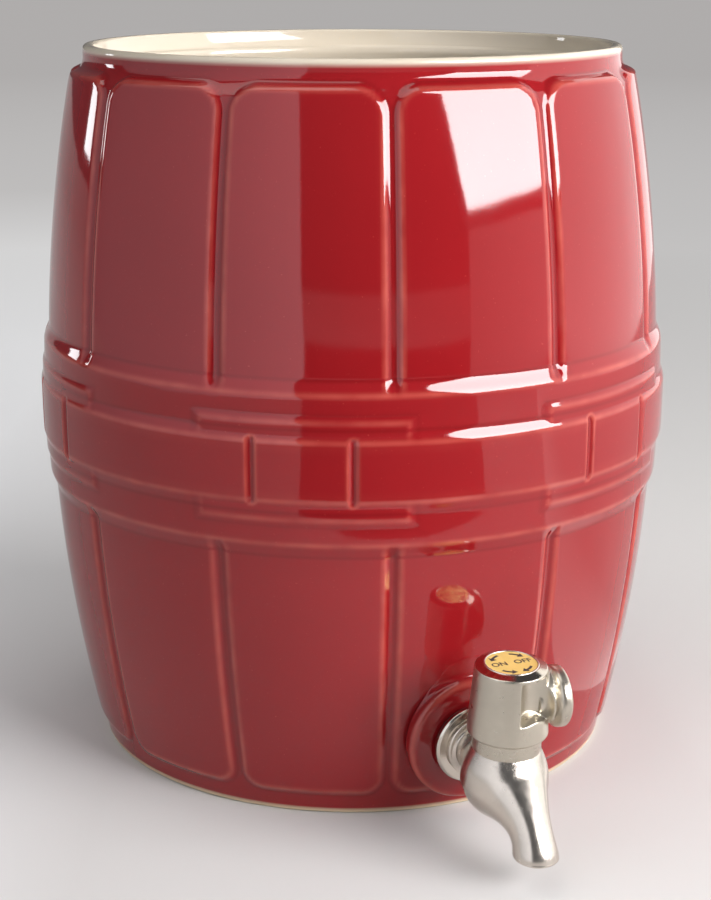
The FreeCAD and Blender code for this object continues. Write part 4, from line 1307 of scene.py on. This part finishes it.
    def world(self, studio):
        """An even tone that lights softly, and shows to the camera as the far backdrop."""
        world = bpy.data.worlds.new("studio_world")
        world.use_nodes = True
        bpy.context.scene.world = world
        tree = world.node_tree
        shine = tree.nodes["Background"]
        shine.inputs["Color"].default_value = (0.9, 0.93, 1.0, 1)
        shine.inputs["Strength"].default_value = 0.09
        back = tree.nodes.new("ShaderNodeBackground")
        back.inputs["Color"].default_value = (*studio.far_grey, 1)
        path = tree.nodes.new("ShaderNodeLightPath")
        blend = tree.nodes.new("ShaderNodeMixShader")
        tree.links.new(path.outputs["Is Camera Ray"], blend.inputs[0])
        tree.links.new(shine.outputs[0], blend.inputs[1])
        tree.links.new(back.outputs[0], blend.inputs[2])
        tree.links.new(blend.outputs[0], tree.nodes["World Output"].inputs["Surface"])

    def camera(self, context, studio):
        """The camera at the photograph's place, looking a little down."""
        data = bpy.data.cameras.new("studio_camera")
        data.lens = studio.lens
        data.sensor_width = 36
        data.shift_x = studio.shift
        data.clip_start = 0.01
        data.clip_end = 100
        camera = place_object("studio_camera", data)
        camera.location = studio.camera_place
        camera.rotation_euler = (math.pi / 2 - studio.camera_pitch, 0, studio.camera_turn)
        context.scene.camera = camera


class WATERPOT_PT_panel(bpy.types.Panel):
    """Lists the pieces of the water pot in the sidebar."""

    bl_idname = "WATERPOT_PT_panel"
    bl_label = "Water Pot"
    bl_space_type = "VIEW_3D"
    bl_region_type = "UI"
    bl_category = "Water Pot"

    def draw(self, context):
        for operator in OPERATORS:
            self.layout.operator(operator.bl_idname)


SETTINGS = {"pot_barrel": BarrelSizes, "pot_tap": TapSizes, "pot_finish": Finishes,
            "pot_studio": StudioSettings}
OPERATORS = (WATERPOT_OT_barrel, WATERPOT_OT_casting, WATERPOT_OT_handle, WATERPOT_OT_label,
             WATERPOT_OT_fittings, WATERPOT_OT_studio)


def register():
    """Register the settings, the operators and the panel."""
    for name, group in SETTINGS.items():
        bpy.utils.register_class(group)
        setattr(bpy.types.Scene, name, bpy.props.PointerProperty(type=group))
    for operator in OPERATORS:
        bpy.utils.register_class(operator)
    bpy.utils.register_class(WATERPOT_PT_panel)


def unregister():
    """Remove what register added."""
    bpy.utils.unregister_class(WATERPOT_PT_panel)
    for operator in reversed(OPERATORS):
        bpy.utils.unregister_class(operator)
    for name, group in SETTINGS.items():
        delattr(bpy.types.Scene, name)
        bpy.utils.unregister_class(group)


def main():
    """Build every piece."""
    register()
    bpy.ops.waterpot.barrel()
    bpy.ops.waterpot.casting()
    bpy.ops.waterpot.handle()
    bpy.ops.waterpot.label()
    bpy.ops.waterpot.fittings()
    bpy.ops.waterpot.studio()


if __name__ == "__main__":
    main()
